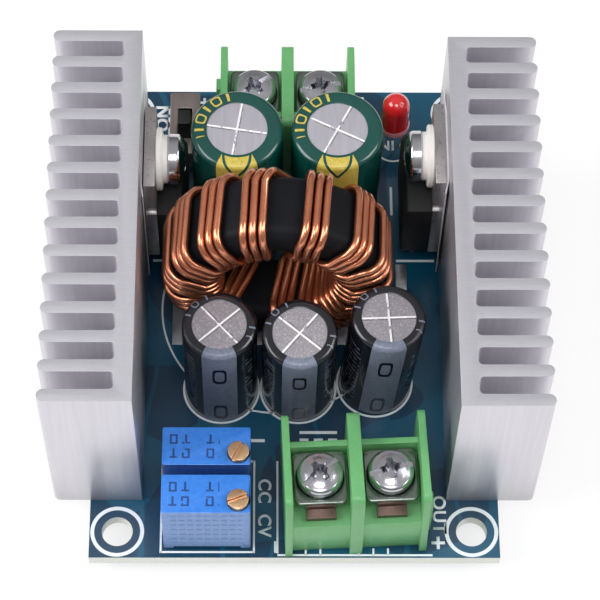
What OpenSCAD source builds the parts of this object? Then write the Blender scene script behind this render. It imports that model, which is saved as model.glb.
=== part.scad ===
// Step-down power converter module: a circuit board between two finned heatsinks.
// Origin: the middle of the four mounting holes, on the underside of the board.
// X runs to the right, Y to the rear (input) edge and Z up. All sizes are in millimetres.

/* [Board] */
// Width of the circuit board
board_width = 45; // [45:0.5:60]
// Length of the circuit board
board_length = 60; // [60:0.5:80]
// Thickness of the circuit board
board_thickness = 1.6; // [1:0.1:2.4]
// Diameter of the corner mounting holes
mount_hole_diameter = 3.4; // [3:0.1:3.8]
// Distance from the board's edges to a mounting hole's centre
mount_hole_inset = 3.05; // [2.6:0.05:3.4]
// How far the soldered leads reach below the board
lead_stickout = 1.8; // [1.3:0.1:1.9]
// Radial gap between a lead and its hole
lead_gap = 0.15; // [0.1:0.05:0.25]
// Height of a solder joint below the board
solder_height = 0.9; // [0.5:0.1:1.2]

/* [Heatsinks] */
// Length of each heatsink along the board
heatsink_length = 44.9; // [43:0.1:46]
// Depth of each heatsink from its flat back to the fin tips
heatsink_depth = 9.75; // [8:0.25:12]
// Height of the left heatsink above the board
heatsink_left_height = 25.6; // [23:0.2:30]
// Height of the right heatsink above the board
heatsink_right_height = 24.6; // [23:0.2:30]
// Thickness of the flat back that carries the fins
heatsink_back = 1.9; // [1.6:0.1:2.4]
// Thickness of a fin
fin_thickness = 1.4; // [1.2:0.05:1.5]
// Number of fins on each heatsink
fin_count = 14; // [14:1:15]
// Distance between the flat backs of the two heatsinks
heatsink_spacing = 33.54; // [33.2:0.1:34]
// Distance from the board's front edge to the heatsinks
heatsink_front = 6.8; // [6:0.1:7.4]
// Diameter of the screws that hold the heatsinks from below
foot_screw_diameter = 2.9; // [2.5:0.1:3]
// Head diameter of those screws
foot_screw_head = 5; // [4.6:0.1:5]
// Head height of those screws, on which the module rests
foot_screw_head_height = 2; // [2:0.1:2.6]
// Length of those screws under the head
foot_screw_length = 8; // [6:0.5:10]

/* [Power devices] */
// Width of the metal tab
tab_width = 10.2; // [9.8:0.1:10.6]
// Thickness of the metal tab
tab_thickness = 1.27; // [1.1:0.05:1.4]
// Height of the tab above the moulded body
tab_reach = 6.5; // [6.2:0.1:7]
// Width of the moulded body
body_width = 10; // [9.6:0.1:10.2]
// Height of the moulded body
body_height = 9.2; // [8.6:0.1:9.6]
// Depth of the moulded body with its tab
body_depth = 4.5; // [4.2:0.1:4.8]
// Gap between the board and the moulded body
body_lift = 3.5; // [3:0.1:4]
// Distance from the top of the tab to its hole
tab_hole_drop = 2.8; // [2.6:0.05:3]
// Diameter of the hole in the tab
tab_hole_diameter = 3.8; // [3.7:0.05:4]
// Pitch of the leads
device_lead_pitch = 2.54; // [2.4:0.02:2.7]
// Width of a lead
device_lead_width = 0.8; // [0.6:0.05:0.9]
// Thickness of a lead
device_lead_thickness = 0.5; // [0.4:0.05:0.6]
// Distance from the back of the tab to the leads
device_lead_offset = 2.6; // [2.2:0.1:3]
// Place of the left device along Y
left_device_y = 10.8; // [10.2:0.1:11.4]
// Place of the right device along Y
right_device_y = 11.3; // [10.8:0.1:11.8]
// Thickness of the insulating sheet behind the tab
sheet_thickness = 0.15; // [0.1:0.05:0.3]
// Width of the insulating sheet
sheet_width = 13.5; // [12.5:0.5:15]
// Height of the insulating sheet
sheet_height = 18; // [17:0.5:19]
// Diameter of the insulating bush's flange
bush_diameter = 7; // [6.4:0.1:7.4]
// Thickness of the insulating bush's flange
bush_flange = 1.3; // [1:0.1:1.5]
// Bore of the insulating bush
bush_bore = 3.1; // [3.04:0.02:3.2]
// Diameter of the device screw's thread
device_screw_diameter = 3; // [2.8:0.05:3]
// Head diameter of the device screw
device_screw_head = 5.6; // [5:0.1:6]
// Head height of the device screw
device_screw_head_height = 2; // [1.6:0.1:2.2]
// Length of the device screw under its head
device_screw_length = 6; // [5:0.5:8]

/* [Capacitors] */
// Diameter of the input capacitors' cans
input_can_diameter = 9.9; // [9:0.1:10.2]
// Height of the input capacitors
input_can_height = 21; // [16:0.5:22]
// Diameter of the output capacitors' cans
output_can_diameter = 7.9; // [7:0.1:8]
// Height of the output capacitors
output_can_height = 16; // [13:0.5:20]
// Thickness of the capacitors' shrunk sleeve
sleeve_thickness = 0.12; // [0.1:0.02:0.2]
// Width of the sleeve's turned-in rim on top of an input capacitor
input_rim = 1.6; // [1:0.05:1.8]
// Width of the sleeve's turned-in rim on top of an output capacitor
output_rim = 1; // [0.8:0.05:1.6]
// Gap between neighbouring input capacitors
input_can_gap = 0.86; // [0.6:0.02:1.2]
// Gap between neighbouring output capacitors
output_can_gap = 0.5; // [0.4:0.05:0.8]
// Lead pitch of the input capacitors
input_lead_pitch = 5; // [4:0.5:5.5]
// Lead pitch of the output capacitors
output_lead_pitch = 3.5; // [3:0.5:4]
// Diameter of a capacitor's lead
can_lead_diameter = 0.7; // [0.5:0.1:0.9]
// Place of the input capacitors along Y
input_can_y = 11.9; // [11.7:0.1:12.1]
// Place of the output capacitors along Y
output_can_y = -9.6; // [-9.9:0.1:-9.6]
// Place of the middle of the input capacitors along X
input_can_x = -0.9; // [-1.4:0.1:-0.4]
// Place of the middle output capacitor along X
output_can_x = 0.45; // [0:0.1:1]
// Lean of the right output capacitor towards the right, in degrees
lean_angle = 3.4; // [0:0.2:4]
// Lean of the middle output capacitor towards the front, in degrees
middle_lean = 4; // [0:0.5:5]
// How far the right output capacitor stands behind the other two
right_can_back = 0.8; // [0.4:0.1:0.8]

/* [Coil] */
// Outer diameter of the ring core
core_diameter = 23.3; // [21.5:0.1:23.4]
// Inner diameter of the ring core
core_bore = 14.1; // [13.6:0.1:15]
// Width of the ring core along Y
core_width = 7.7; // [7:0.1:7.8]
// Rounding of the ring core's edges
core_round = 1.4; // [0.8:0.1:1.5]
// Height of the core's centre above the board
core_lift = 12.8; // [12.6:0.1:14]
// Place of the coil along X
coil_x = -1.9; // [-2:0.05:-1.5]
// Place of the coil along Y
coil_y = 0.6; // [0.5:0.05:0.7]
// Diameter of a copper strand
strand_diameter = 0.85; // [0.7:0.05:0.85]
// Gap between the strands and the core
strand_gap = 0.2; // [0.1:0.02:0.2]

/* [Terminal blocks] */
// Distance between the two poles
pole_pitch = 7.62; // [7.4:0.02:7.8]
// Depth of the partition walls
wall_depth = 11.6; // [11.6:0.1:12.4]
// Height of the partition walls above the board
wall_height = 12.4; // [12:0.2:15]
// Thickness of the outer walls
side_wall = 0.8; // [0.7:0.05:1]
// Thickness of the middle wall
middle_wall = 1.4; // [1.2:0.05:1.6]
// Height of the housing's seat under the contacts
seat_height = 7.4; // [7:0.1:8]
// Thickness of a contact strip
contact_thickness = 0.8; // [0.6:0.05:1]
// Width of a contact strip
contact_width = 3.2; // [2.8:0.1:3.6]
// Size of a square clamp plate across X
clamp_width = 5.6; // [5:0.1:5.8]
// Size of a square clamp plate along Y
clamp_depth = 6; // [5.6:0.1:6.1]
// Thickness of a clamp plate
clamp_thickness = 0.8; // [0.6:0.1:1]
// Thread diameter of a clamp screw
clamp_screw_diameter = 3; // [2.6:0.1:3]
// Head diameter of a clamp screw
clamp_screw_head = 5; // [4.6:0.1:5.4]
// Head height of a clamp screw
clamp_screw_head_height = 2.1; // [1.8:0.1:2.4]
// Length of a clamp screw under its head
clamp_screw_length = 6; // [5:0.25:6.5]
// Gap from the board's edge to a block's front
block_setback = 0.45; // [0.3:0.05:0.5]
// Place of the output block along X
output_block_x = 6.42; // [6.2:0.02:6.8]
// Place of the input block along X
input_block_x = -0.75; // [-1:0.05:-0.5]
// Turn of the output block as it was soldered, in degrees
output_block_turn = 2.8; // [0:0.2:3]

/* [Trimmers] */
// Length of a trimmer along X
trimmer_length = 9.5; // [9:0.1:9.8]
// Width of a trimmer along Y
trimmer_width = 4.45; // [4.3:0.05:4.9]
// Height of a trimmer above the board
trimmer_height = 10; // [9:0.1:11]
// Gap between the two trimmers
trimmer_gap = 1.1; // [0.3:0.05:1.2]
// Distance from the board's front edge to the front trimmer
trimmer_setback = 1.1; // [0.8:0.05:1.2]
// Place of the trimmers along X
trimmer_x = -9.55; // [-9.8:0.05:-9.3]
// Diameter of a trimmer's adjusting screw
adjuster_diameter = 2.3; // [2:0.1:2.4]
// How far the adjusting screw stands above the trimmer
adjuster_reach = 0.6; // [0.4:0.1:1]
// Diameter of a trimmer's pin
trimmer_pin_diameter = 0.5; // [0.4:0.05:0.6]

/* [Switch] */
// Length of the slide switch along Y
switch_length = 8.4; // [8.2:0.1:8.7]
// Width of the slide switch along X
switch_width = 3.5; // [3.3:0.1:3.7]
// Height of the switch's shell above the board
switch_height = 3.6; // [3.2:0.1:4.4]
// Thickness of the switch's shell
shell_thickness = 0.3; // [0.25:0.05:0.35]
// Width of the knob
knob_width = 1.5; // [1.3:0.1:1.6]
// Length of the knob along Y
knob_length = 1.9; // [1.7:0.1:2]
// Height of the knob above the shell
knob_reach = 3; // [2:0.25:4]
// Travel of the knob
knob_travel = 2; // [1.5:0.1:2]
// Place of the switch along X
switch_x = -12.8; // [-12.9:0.05:-12.7]
// Distance from the board's rear edge to the middle of the switch
switch_setback = 6.6; // [6.4:0.1:6.8]

/* [Indicator lamp] */
// Diameter of the lamp's lens
lamp_diameter = 3.2; // [2.8:0.1:3.2]
// Height of the lamp's lens
lamp_height = 5.9; // [5:0.1:6]
// Gap between the board and the lens
lamp_lift = 4.5; // [3.5:0.1:5]
// Place of the lamp along X
lamp_x = 11.85; // [11.6:0.05:12]
// Distance from the board's rear edge to the middle of the lamp
lamp_setback = 7.5; // [7:0.1:7.8]
// Side of a square lamp lead
lamp_lead = 0.5; // [0.4:0.05:0.6]

/* [Underside parts] */
// Length of the control chip
control_chip_length = 9.9; // [9.4:0.1:10.3]
// Width of both chips' bodies
chip_width = 3.9; // [3.6:0.1:4.1]
// Height of both chips' bodies
chip_height = 1.4; // [1.2:0.1:1.6]
// Length of a current sensing resistor
shunt_length = 6.4; // [6:0.1:6.6]
// Width of a current sensing resistor
shunt_width = 3.2; // [3:0.1:3.4]
// Thickness of a current sensing resistor
shunt_height = 0.6; // [0.5:0.05:0.8]

/* [Hidden] */

$fn = 48;
top = board_thickness;
left = -1;
right = 1;
fit_gap = 0.05;
cut = 1;
front_edge = -board_length / 2;
rear_edge = board_length / 2;
switch_y = rear_edge - switch_setback;
lamp_y = rear_edge - lamp_setback;

// Points of an arc about a centre, from one angle to another.
function arc(centre, radius, from, to, steps = 5) =
    [for (i = [0:steps]) let (a = from + (to - from) * i / steps)
        centre + radius * [cos(a), sin(a)]];

// Outline of a rectangle between two corners, with rounded corners.
function rounded_outline(low, high, radius) = concat(
    arc(low + [radius, radius], radius, 180, 270),
    arc([high[0] - radius, low[1] + radius], radius, 270, 360),
    arc(high - [radius, radius], radius, 0, 90),
    arc([low[0] + radius, high[1] - radius], radius, 90, 180));

// A box between two corners.
module box(low, high) {
    translate(low) cube(high - low);
}

// A round bar or hole along Z.
module bar(x, y, low, high, radius) {
    translate([x, y, low]) cylinder(r = radius, h = high - low);
}

// A plate with rounded corners, between two corners of a box.
module rounded_plate(low, high, radius) {
    translate([0, 0, low[2]])
        linear_extrude(high[2] - low[2])
            polygon(rounded_outline([low[0], low[1]], [high[0], high[1]], radius));
}

// A pan head with a slightly rounded rim, standing on z = 0.
module pan_head(diameter, height) {
    rim = height * 0.45;
    rotate_extrude()
        polygon(concat([[0, 0], [diameter / 2, 0]],
            arc([diameter / 2 - rim, height - rim], rim, 0, 90, 4), [[0, height]]));
}

// A cross recess cut down from z = 0, with a slot across it for a flat blade if it has one.
module cross_recess(size, depth, slot) {
    wing = size * 0.24;
    for (turn = [0, 90])
        rotate([0, 0, turn])
            box([-size / 2, -wing / 2, -depth], [size / 2, wing / 2, cut]);
    if (slot > 0) box([-slot / 2, -wing / 2, -depth * 0.6], [slot / 2, wing / 2, cut]);
}

// ---------------------------------------------------------------- heatsinks

heatsink_x = heatsink_spacing / 2;
fin_pitch = (heatsink_length - fin_thickness) / (fin_count - 1);
fin_slot = fin_pitch - fin_thickness;
fin_root_round = 0.5;
heatsink_y = front_edge + heatsink_front;
foot_screw_slots = [1, 11];
foot_screw_offset = heatsink_back + fin_slot / 2 + 0.1;
function foot_screw_y(slot) = heatsink_y + fin_thickness / 2 + fin_pitch * (slot + 0.5);

// Section of a heatsink: x outwards from the flat back, y along the board.
function fin_outline(i) = let (
        y = fin_pitch * i,
        tip = fin_thickness / 2,
        root = heatsink_back + fin_root_round)
    concat(
        arc([heatsink_depth - tip, y + tip], tip, -90, 90, 6),
        i == fin_count - 1 ? [] : concat(
            arc([root, y + fin_thickness + fin_root_round], fin_root_round, 270, 180, 4),
            arc([root, y + fin_pitch - fin_root_round], fin_root_round, 180, 90, 4)));

module heatsink(side, height) {
    translate([side * heatsink_x, heatsink_y, top])
        mirror([side < 0 ? 1 : 0, 0, 0])
            linear_extrude(height)
                polygon(concat([[0, heatsink_length], [0, 0]],
                    [for (i = [0:fin_count - 1]) each fin_outline(i)]));
}

module foot_screw_places() {
    for (side = [left, right], slot = foot_screw_slots)
        translate([side * (heatsink_x + foot_screw_offset), foot_screw_y(slot), 0])
            children();
}

module heatsink_with_holes(side, height, device_y) {
    color("silver") difference() {
        heatsink(side, height);
        foot_screw_places()
            bar(0, 0, -cut, foot_screw_length + cut, foot_screw_diameter / 2 + fit_gap);
        translate([side * heatsink_x, device_y, device_hole_z])
            rotate([0, side * 90, 0])
                translate([0, 0, -cut])
                    cylinder(r = device_screw_diameter / 2 + fit_gap,
                        h = cut + device_screw_length - bush_flange - tab_thickness + cut / 2);
    }
}

module heatsink_left() {
    heatsink_with_holes(left, heatsink_left_height, left_device_y);
}

module heatsink_right() {
    heatsink_with_holes(right, heatsink_right_height, right_device_y);
}

module heatsink_screws() {
    color("gainsboro") foot_screw_places() {
        cylinder(r = foot_screw_diameter / 2, h = foot_screw_length);
        difference() {
            rotate([180, 0, 0]) pan_head(foot_screw_head, foot_screw_head_height);
            translate([0, 0, -foot_screw_head_height])
                rotate([180, 0, 0]) cross_recess(2.6, 1, 0);
        }
    }
}

// ------------------------------------------------------------ power devices

tab_top = top + body_lift + body_height + tab_reach;
device_hole_z = tab_top - tab_hole_drop;

// Puts a device's own frame against a heatsink: x away from the metal, z up.
module at_heatsink(side, y) {
    translate([side * heatsink_x, y, top])
        mirror([side > 0 ? 1 : 0, 0, 0])
            children();
}

module device_frame(side, y) {
    body_base = body_lift;
    body_top = body_base + body_height;
    notch = 0.9;
    lead_x = sheet_thickness + device_lead_offset;
    color("darkgray") at_heatsink(side, y) {
        difference() {
            box([sheet_thickness, -tab_width / 2, body_base],
                [sheet_thickness + tab_thickness, tab_width / 2, body_top + tab_reach]);
            translate([0, 0, device_hole_z - top])
                rotate([0, 90, 0])
                    cylinder(r = tab_hole_diameter / 2, h = body_depth);
            for (edge = [-1, 1])
                translate([0, edge * tab_width / 2, body_top + notch])
                    rotate([0, 90, 0]) cylinder(r = notch * 0.7, h = body_depth);
        }
        for (i = [-1, 0, 1]) {
            y0 = i * device_lead_pitch;
            box([lead_x, y0 - device_lead_width / 2, -top - lead_stickout],
                [lead_x + device_lead_thickness, y0 + device_lead_width / 2, body_base]);
            box([lead_x, y0 - device_lead_width * 0.8, 0],
                [lead_x + device_lead_thickness, y0 + device_lead_width * 0.8, body_base]);
        }
    }
}

module device_body(side, y) {
    low = body_lift;
    high = low + body_height;
    face = sheet_thickness + tab_thickness;
    proud = sheet_thickness + body_depth;
    bevel = 0.5;
    color([0.13, 0.13, 0.14]) at_heatsink(side, y)
        translate([0, body_width / 2, 0]) rotate([90, 0, 0])
            linear_extrude(body_width)
                polygon([[face, low], [proud - bevel / 2, low], [proud, low + bevel],
                    [proud, high - bevel * 2], [proud - bevel, high], [face, high]]);
}

module device_sheet(side, y) {
    low = tab_top - top + 0.5 - sheet_height;
    color([0.86, 0.86, 0.84]) at_heatsink(side, y)
        difference() {
            box([0, -sheet_width / 2, low], [sheet_thickness, sheet_width / 2, low + sheet_height]);
            translate([-cut, 0, device_hole_z - top])
                rotate([0, 90, 0])
                    cylinder(r = bush_bore / 2, h = sheet_thickness + 2 * cut);
        }
}

module device_bush(side, y) {
    start = sheet_thickness;
    seat = start + tab_thickness;
    color("ivory") at_heatsink(side, y)
        translate([0, 0, device_hole_z - top]) rotate([0, 90, 0])
            difference() {
                union() {
                    translate([0, 0, start])
                        cylinder(r = tab_hole_diameter / 2 - fit_gap, h = tab_thickness);
                    translate([0, 0, seat]) cylinder(r = bush_diameter / 2, h = bush_flange);
                }
                cylinder(r = bush_bore / 2, h = seat + bush_flange + cut);
            }
}

module device_screw(side, y) {
    seat = sheet_thickness + tab_thickness + bush_flange;
    color("silver") at_heatsink(side, y)
        translate([seat, 0, device_hole_z - top]) rotate([0, 90, 0]) {
            difference() {
                pan_head(device_screw_head, device_screw_head_height);
                translate([0, 0, device_screw_head_height]) cross_recess(3, 1.2, 0);
            }
            translate([0, 0, -device_screw_length])
                cylinder(r = device_screw_diameter / 2, h = device_screw_length);
        }
}

module transistor_frame() { device_frame(left, left_device_y); }
module transistor_body() { device_body(left, left_device_y); }
module transistor_sheet() { device_sheet(left, left_device_y); }
module transistor_bush() { device_bush(left, left_device_y); }
module transistor_screw() { device_screw(left, left_device_y); }
module rectifier_frame() { device_frame(right, right_device_y); }
module rectifier_body() { device_body(right, right_device_y); }
module rectifier_sheet() { device_sheet(right, right_device_y); }
module rectifier_bush() { device_bush(right, right_device_y); }
module rectifier_screw() { device_screw(right, right_device_y); }

// --------------------------------------------------------------- capacitors

input_pitch = input_can_diameter + 2 * sleeve_thickness + input_can_gap;
output_pitch = output_can_diameter + 2 * sleeve_thickness + output_can_gap;
output_base = output_can_diameter / 2 + sleeve_thickness;
lean_lift = sin(lean_angle) * output_base;
middle_lift = sin(middle_lean) * output_base;
seal_height = 1.6;
seal_recess = 0.1;
lead_bite = 1;
lead_radius = can_lead_diameter / 2;

module at_input_can(i) {
    translate([input_can_x + i * input_pitch / 2, input_can_y, top]) children();
}

// Where an output capacitor's base is, from the left one, -1, to the right one, 1.
function output_spot(i) =
    [output_can_x + i * output_pitch, output_can_y + (i == 1 ? right_can_back : 0), top];

// The right output capacitor leans outwards and the middle one leans forwards. Each stands
// on one edge of its base.
module at_output_can(i) {
    translate(output_spot(i))
        if (i == 1)
            translate([0, 0, lean_lift]) rotate([0, lean_angle, 0]) children();
        else if (i == 0)
            translate([0, 0, middle_lift]) rotate([middle_lean, 0, 0]) children();
        else
            children();
}

module can(diameter, height, rim) {
    r = diameter / 2;
    round_edge = 0.5;
    groove = 0.35;
    groove_z = 2.2;
    groove_arc = [240, 120];
    score_turn = 15;
    score_depth = 0.15;
    score_width = 0.3;
    wall = 0.4;
    color("gainsboro") difference() {
        rotate_extrude()
            polygon(concat([[0, seal_height], [r - wall, seal_height], [r - wall, 0], [r, 0]],
                arc([r + groove * 0.4, groove_z], groove, groove_arc[0], groove_arc[1], 4),
                arc([r - round_edge, height - round_edge], round_edge, 0, 90, 4),
                [[0, height]]));
        for (turn = [0, 90])
            rotate([0, 0, turn + score_turn])
                box([-r + rim, -score_width / 2, height - score_depth],
                    [r - rim, score_width / 2, height + cut]);
    }
}

module sleeve(diameter, height, rim) {
    r = diameter / 2;
    round_edge = 0.5;
    t = sleeve_thickness;
    lip = 0.2;
    rotate_extrude()
        polygon(concat([[r, lip], [r + t, lip]],
            arc([r - round_edge, height - round_edge], round_edge + t, 0, 90, 4),
            [[r - rim, height + t], [r - rim, height]],
            arc([r - round_edge, height - round_edge], round_edge, 90, 0, 4)));
}

module seal(diameter) {
    wall = 0.4;
    cylinder(r = diameter / 2 - wall, h = seal_height - seal_recess);
}

module lead_pair(lead_pitch, radius, high) {
    for (side = [left, right])
        bar(side * lead_pitch / 2, 0, -board_thickness - lead_stickout, high, radius);
}

module input_capacitor_leads() {
    color("silver") for (i = [left, right])
        translate([input_can_x + i * input_pitch / 2, input_can_y, top])
            lead_pair(input_lead_pitch, lead_radius, lead_bite);
}

module output_capacitor_leads() {
    color("silver") for (i = [-1, 0, 1])
        translate(output_spot(i)) lead_pair(output_lead_pitch, lead_radius, lead_bite);
}

module input_capacitor_seals() {
    color([0.16, 0.16, 0.17]) for (i = [left, right])
        difference() {
            at_input_can(i) seal(input_can_diameter);
            translate([input_can_x + i * input_pitch / 2, input_can_y, top])
                lead_pair(input_lead_pitch, lead_radius + fit_gap / 2, lead_bite + fit_gap);
        }
}

module output_capacitor_seals() {
    color([0.16, 0.16, 0.17]) for (i = [-1, 0, 1])
        difference() {
            at_output_can(i) seal(output_can_diameter);
            translate(output_spot(i))
                lead_pair(output_lead_pitch, lead_radius + fit_gap / 2, lead_bite + fit_gap);
        }
}

module input_sleeve(i) {
    color([0.1, 0.42, 0.37]) at_input_can(i) sleeve(input_can_diameter, input_can_height, input_rim);
}

module output_sleeve(i) {
    color([0.1, 0.1, 0.12]) at_output_can(i) sleeve(output_can_diameter, output_can_height, output_rim);
}

module input_capacitor_left_sleeve() { input_sleeve(left); }
module input_capacitor_right_sleeve() { input_sleeve(right); }
module input_can(i) { at_input_can(i) can(input_can_diameter, input_can_height, input_rim); }
module output_can(i) { at_output_can(i) can(output_can_diameter, output_can_height, output_rim); }

module input_capacitor_left_can() { input_can(left); }
module input_capacitor_right_can() { input_can(right); }
module output_capacitor_left_sleeve() { output_sleeve(-1); }
module output_capacitor_middle_sleeve() { output_sleeve(0); }
module output_capacitor_right_sleeve() { output_sleeve(1); }
module output_capacitor_left_can() { output_can(-1); }
module output_capacitor_middle_can() { output_can(0); }
module output_capacitor_right_can() { output_can(1); }

// --------------------------------------------------------------------- coil

// The winding has three strands side by side. Angles are from the top of the ring,
// positive towards +X: where a turn crosses the front outer edge, and where it leaves
// the bore at the front. The wire starts behind the ring and ends in front of it.
turn_angles = [-104, -82.5, -61, -38, -13.5, 18.5, 47.5, 71.5, 95, 119, 143];
bore_angles = [-121.5, -93, -68, -43, -17, 19, 47, 73, 98, 123, 148, 176];
start_angle = -150;
end_angle = bore_angles[len(bore_angles) - 1];
outer_tilt = 4.5;
inner_tilt = 12;
strand_sides = 8;
corner_steps = 4;
outer_spread = strand_diameter * 1.235;
inner_spread = strand_diameter * 1.12;
lead_spread = 1.5;
strand_clear = strand_diameter / 2 + strand_gap;
loop_low = core_bore / 2 - strand_clear;
loop_high = core_diameter / 2 + strand_clear;
loop_half = core_width / 2 + strand_clear;
loop_round = core_round + strand_clear;

// Bends of one loop round the core's section, from the bore's rear to the outer rear:
// centre as radius and y, first angle, and the distance between strands there.
bends = [
    [[loop_low + loop_round, loop_half - loop_round], 90, inner_spread],
    [[loop_low + loop_round, -loop_half + loop_round], 180, inner_spread],
    [[loop_high - loop_round, -loop_half + loop_round], -90, outer_spread],
    [[loop_high - loop_round, loop_half - loop_round], 0, outer_spread]];

// Angles of the ring at which the wire passes those bends, one after the other.
stops = concat([start_angle, bore_angles[0]],
    [for (t = [0:len(turn_angles) - 1]) each [turn_angles[t], turn_angles[t] + outer_tilt,
        bore_angles[t + 1] - inner_tilt, bore_angles[t + 1]]]);

// Share of the change between two stops that falls inside a bend.
bend_length = loop_round * PI / 2;
bend_share = bend_length
    / (loop_high - loop_low + 2 * loop_half - 4 * loop_round + 2 * bend_length);

// A point of the middle strand is [place, outward direction, distance between strands].
function bend(i) = let (
        b = bends[i % 4],
        inside = i > 0 && i < len(stops) - 1,
        lean = inside ? (stops[i + 1] - stops[i - 1]) * bend_share : 0)
    [for (s = [0:corner_steps]) let (
            a = b[1] + 90 * s / corner_steps,
            angle = stops[i] + lean * (s / corner_steps - 0.5),
            radius = b[0][0] + loop_round * cos(a),
            y = b[0][1] + loop_round * sin(a))
        [[radius * sin(angle), y, radius * cos(angle)],
            [cos(a) * sin(angle), sin(a), cos(a) * cos(angle)], b[2]]];

// Where strand k of a lead goes down, at the wire's start and at its end.
function lead_foot(angle, k) =
    [(loop_low + loop_round) * sin(angle) - k * lead_spread,
        (angle == start_angle ? 1 : -1) * loop_half];

function lead_points(angle) = let (
        foot = lead_foot(angle, 0),
        bend_z = (loop_low + loop_round) * cos(angle),
        outward = [0, sign(foot[1]), 0])
    [for (z = [-core_lift - board_thickness - lead_stickout, bend_z - 3])
        [[foot[0], foot[1], z], outward, lead_spread]];

course = let (last = lead_points(end_angle)) concat(
    lead_points(start_angle),
    [for (i = [0:len(stops) - 1]) each bend(i)],
    [last[1], last[0]]);

// Strand k keeps to one side of the middle one, square to the course and its face.
function strand_path(k) = let (places = [for (c = course) c[0]])
    [for (i = [0:len(course) - 1]) let (c = course[i])
        c[0] + k * c[2] * unit(cross(path_direction(places, i), c[1]))];

function unit(v) = v / norm(v);
function path_direction(p, i) =
    unit(p[min(i + 1, len(p) - 1)] - p[max(i - 1, 0)]);
function turned(u, d) = unit(u - d * (u * d));

// Sweeps a round section along a path, carrying its frame from ring to ring.
module swept_wire(path, radius, sides) {
    n = len(path);
    frames = [for (i = 0, u = turned([0, 1, 0], path_direction(path, 0)); i < n;
        i = i + 1, u = i < n ? turned(u, path_direction(path, i)) : u) u];
    rings = [for (i = [0:n - 1]) let (u = frames[i], v = cross(path_direction(path, i), u))
        each [for (s = [0:sides - 1]) let (a = 360 * s / sides)
            path[i] + radius * (cos(a) * u + sin(a) * v)]];
    walls = [for (i = [0:n - 2], s = [0:sides - 1]) let (e = (s + 1) % sides)
        [i * sides + s, (i + 1) * sides + s, (i + 1) * sides + e, i * sides + e]];
    caps = [[for (s = [0:sides - 1]) s], [for (s = [sides - 1:-1:0]) (n - 1) * sides + s]];
    polyhedron(rings, concat(walls, caps));
}

module at_coil() {
    translate([coil_x, coil_y, top + core_lift]) children();
}

module coil_core() {
    color([0.12, 0.12, 0.13]) at_coil() rotate([90, 0, 0])
        rotate_extrude($fn = 96)
            polygon(rounded_outline([core_bore / 2, -core_width / 2],
                [core_diameter / 2, core_width / 2], core_round));
}

module coil_strand(k) {
    color([0.8, 0.47, 0.28]) at_coil()
        swept_wire(strand_path(k), strand_diameter / 2, strand_sides);
}

module coil_strand_1() { coil_strand(-1); }
module coil_strand_2() { coil_strand(0); }
module coil_strand_3() { coil_strand(1); }

// ---------------------------------------------------------- terminal blocks

block_half = pole_pitch / 2;
pole_room = pole_pitch / 2 - middle_wall / 2;
side_wall_inner = block_half + pole_room;
side_wall_outer = side_wall_inner + side_wall;
face_inset = 0.7;
wall_slope = 0.8;
wall_round = 0.9;
ledge_height = seat_height - 0.9;
ledge_depth = 2.4;
contact_foot = 1;
seat_depth = ledge_depth + contact_thickness;
contact_rear = 8.2;
clamp_middle = ledge_depth + clamp_depth / 2;
back_wall_front = ledge_depth + clamp_depth + 0.15;
back_wall = 0.7;
back_wall_height = seat_height + 2.6;
contact_top = seat_height + contact_thickness;
screw_radius = clamp_screw_diameter / 2;
pin_width = 1;
rib_reach = 0.6;
rib_span = [2.4, 3.9];
shank_room = 0.3;
shank_end = 0.6;
screw_sink = 0.25;

// Puts a block's own frame on the board: x across the poles, y from its front face back.
module at_output_block() {
    translate([output_block_x, front_edge + block_setback + wall_depth / 2, top])
        rotate([0, 0, output_block_turn])
            translate([0, -wall_depth / 2, 0]) children();
}

module at_input_block() {
    translate([input_block_x, rear_edge - block_setback, top])
        rotate([0, 0, 180]) children();
}

module partition(low, high) {
    r = wall_round;
    translate([low, 0, 0]) rotate([90, 0, 90])
        linear_extrude(high - low)
            polygon(concat([[wall_depth, 0]], [[0, 0]],
                arc([wall_slope + r, wall_height - r], r, 180, 90),
                arc([wall_depth - r, wall_height - r], r, 90, 0)));
}

module terminal_housing() {
    contact_room = contact_width / 2 + fit_gap;
    color([0.42, 0.74, 0.4]) difference() {
        union() {
            box([-side_wall_inner, face_inset, 0], [side_wall_inner, seat_depth, ledge_height]);
            box([-side_wall_inner, seat_depth, 0],
                [side_wall_inner, back_wall_front + back_wall, seat_height]);
            box([-side_wall_inner, back_wall_front, seat_height],
                [side_wall_inner, back_wall_front + back_wall, back_wall_height]);
            partition(-side_wall_outer, -side_wall_inner);
            partition(-middle_wall / 2, middle_wall / 2);
            partition(side_wall_inner, side_wall_outer);
            box([side_wall_outer, rib_span[0], 0],
                [side_wall_outer + rib_reach, rib_span[1], seat_height]);
        }
        for (x = [-block_half, block_half]) {
            bar(x, clamp_middle, seat_height - clamp_screw_length + shank_end,
                seat_height + cut, screw_radius + shank_room);
            translate([x, 0, 0])
                box([-pin_width / 2 - fit_gap, contact_rear - contact_thickness - fit_gap, -cut],
                    [pin_width / 2 + fit_gap, contact_rear + fit_gap, seat_height + cut]);
        }
    }
}

module terminal_contacts() {
    color("rosybrown") for (x = [-block_half, block_half])
        translate([x, 0, 0]) difference() {
            union() {
                box([-contact_width / 2, ledge_depth, seat_height],
                    [contact_width / 2, contact_rear, contact_top]);
                box([-contact_width / 2, ledge_depth, ledge_height],
                    [contact_width / 2, ledge_depth + contact_thickness, contact_top]);
                box([-contact_width / 2, ledge_depth - contact_foot, ledge_height],
                    [contact_width / 2, ledge_depth, ledge_height + contact_thickness]);
                box([-pin_width / 2, contact_rear - contact_thickness,
                        -board_thickness - lead_stickout],
                    [pin_width / 2, contact_rear, contact_top]);
            }
            bar(0, clamp_middle, ledge_height - cut, contact_top + cut, screw_radius + fit_gap);
        }
}

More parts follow.
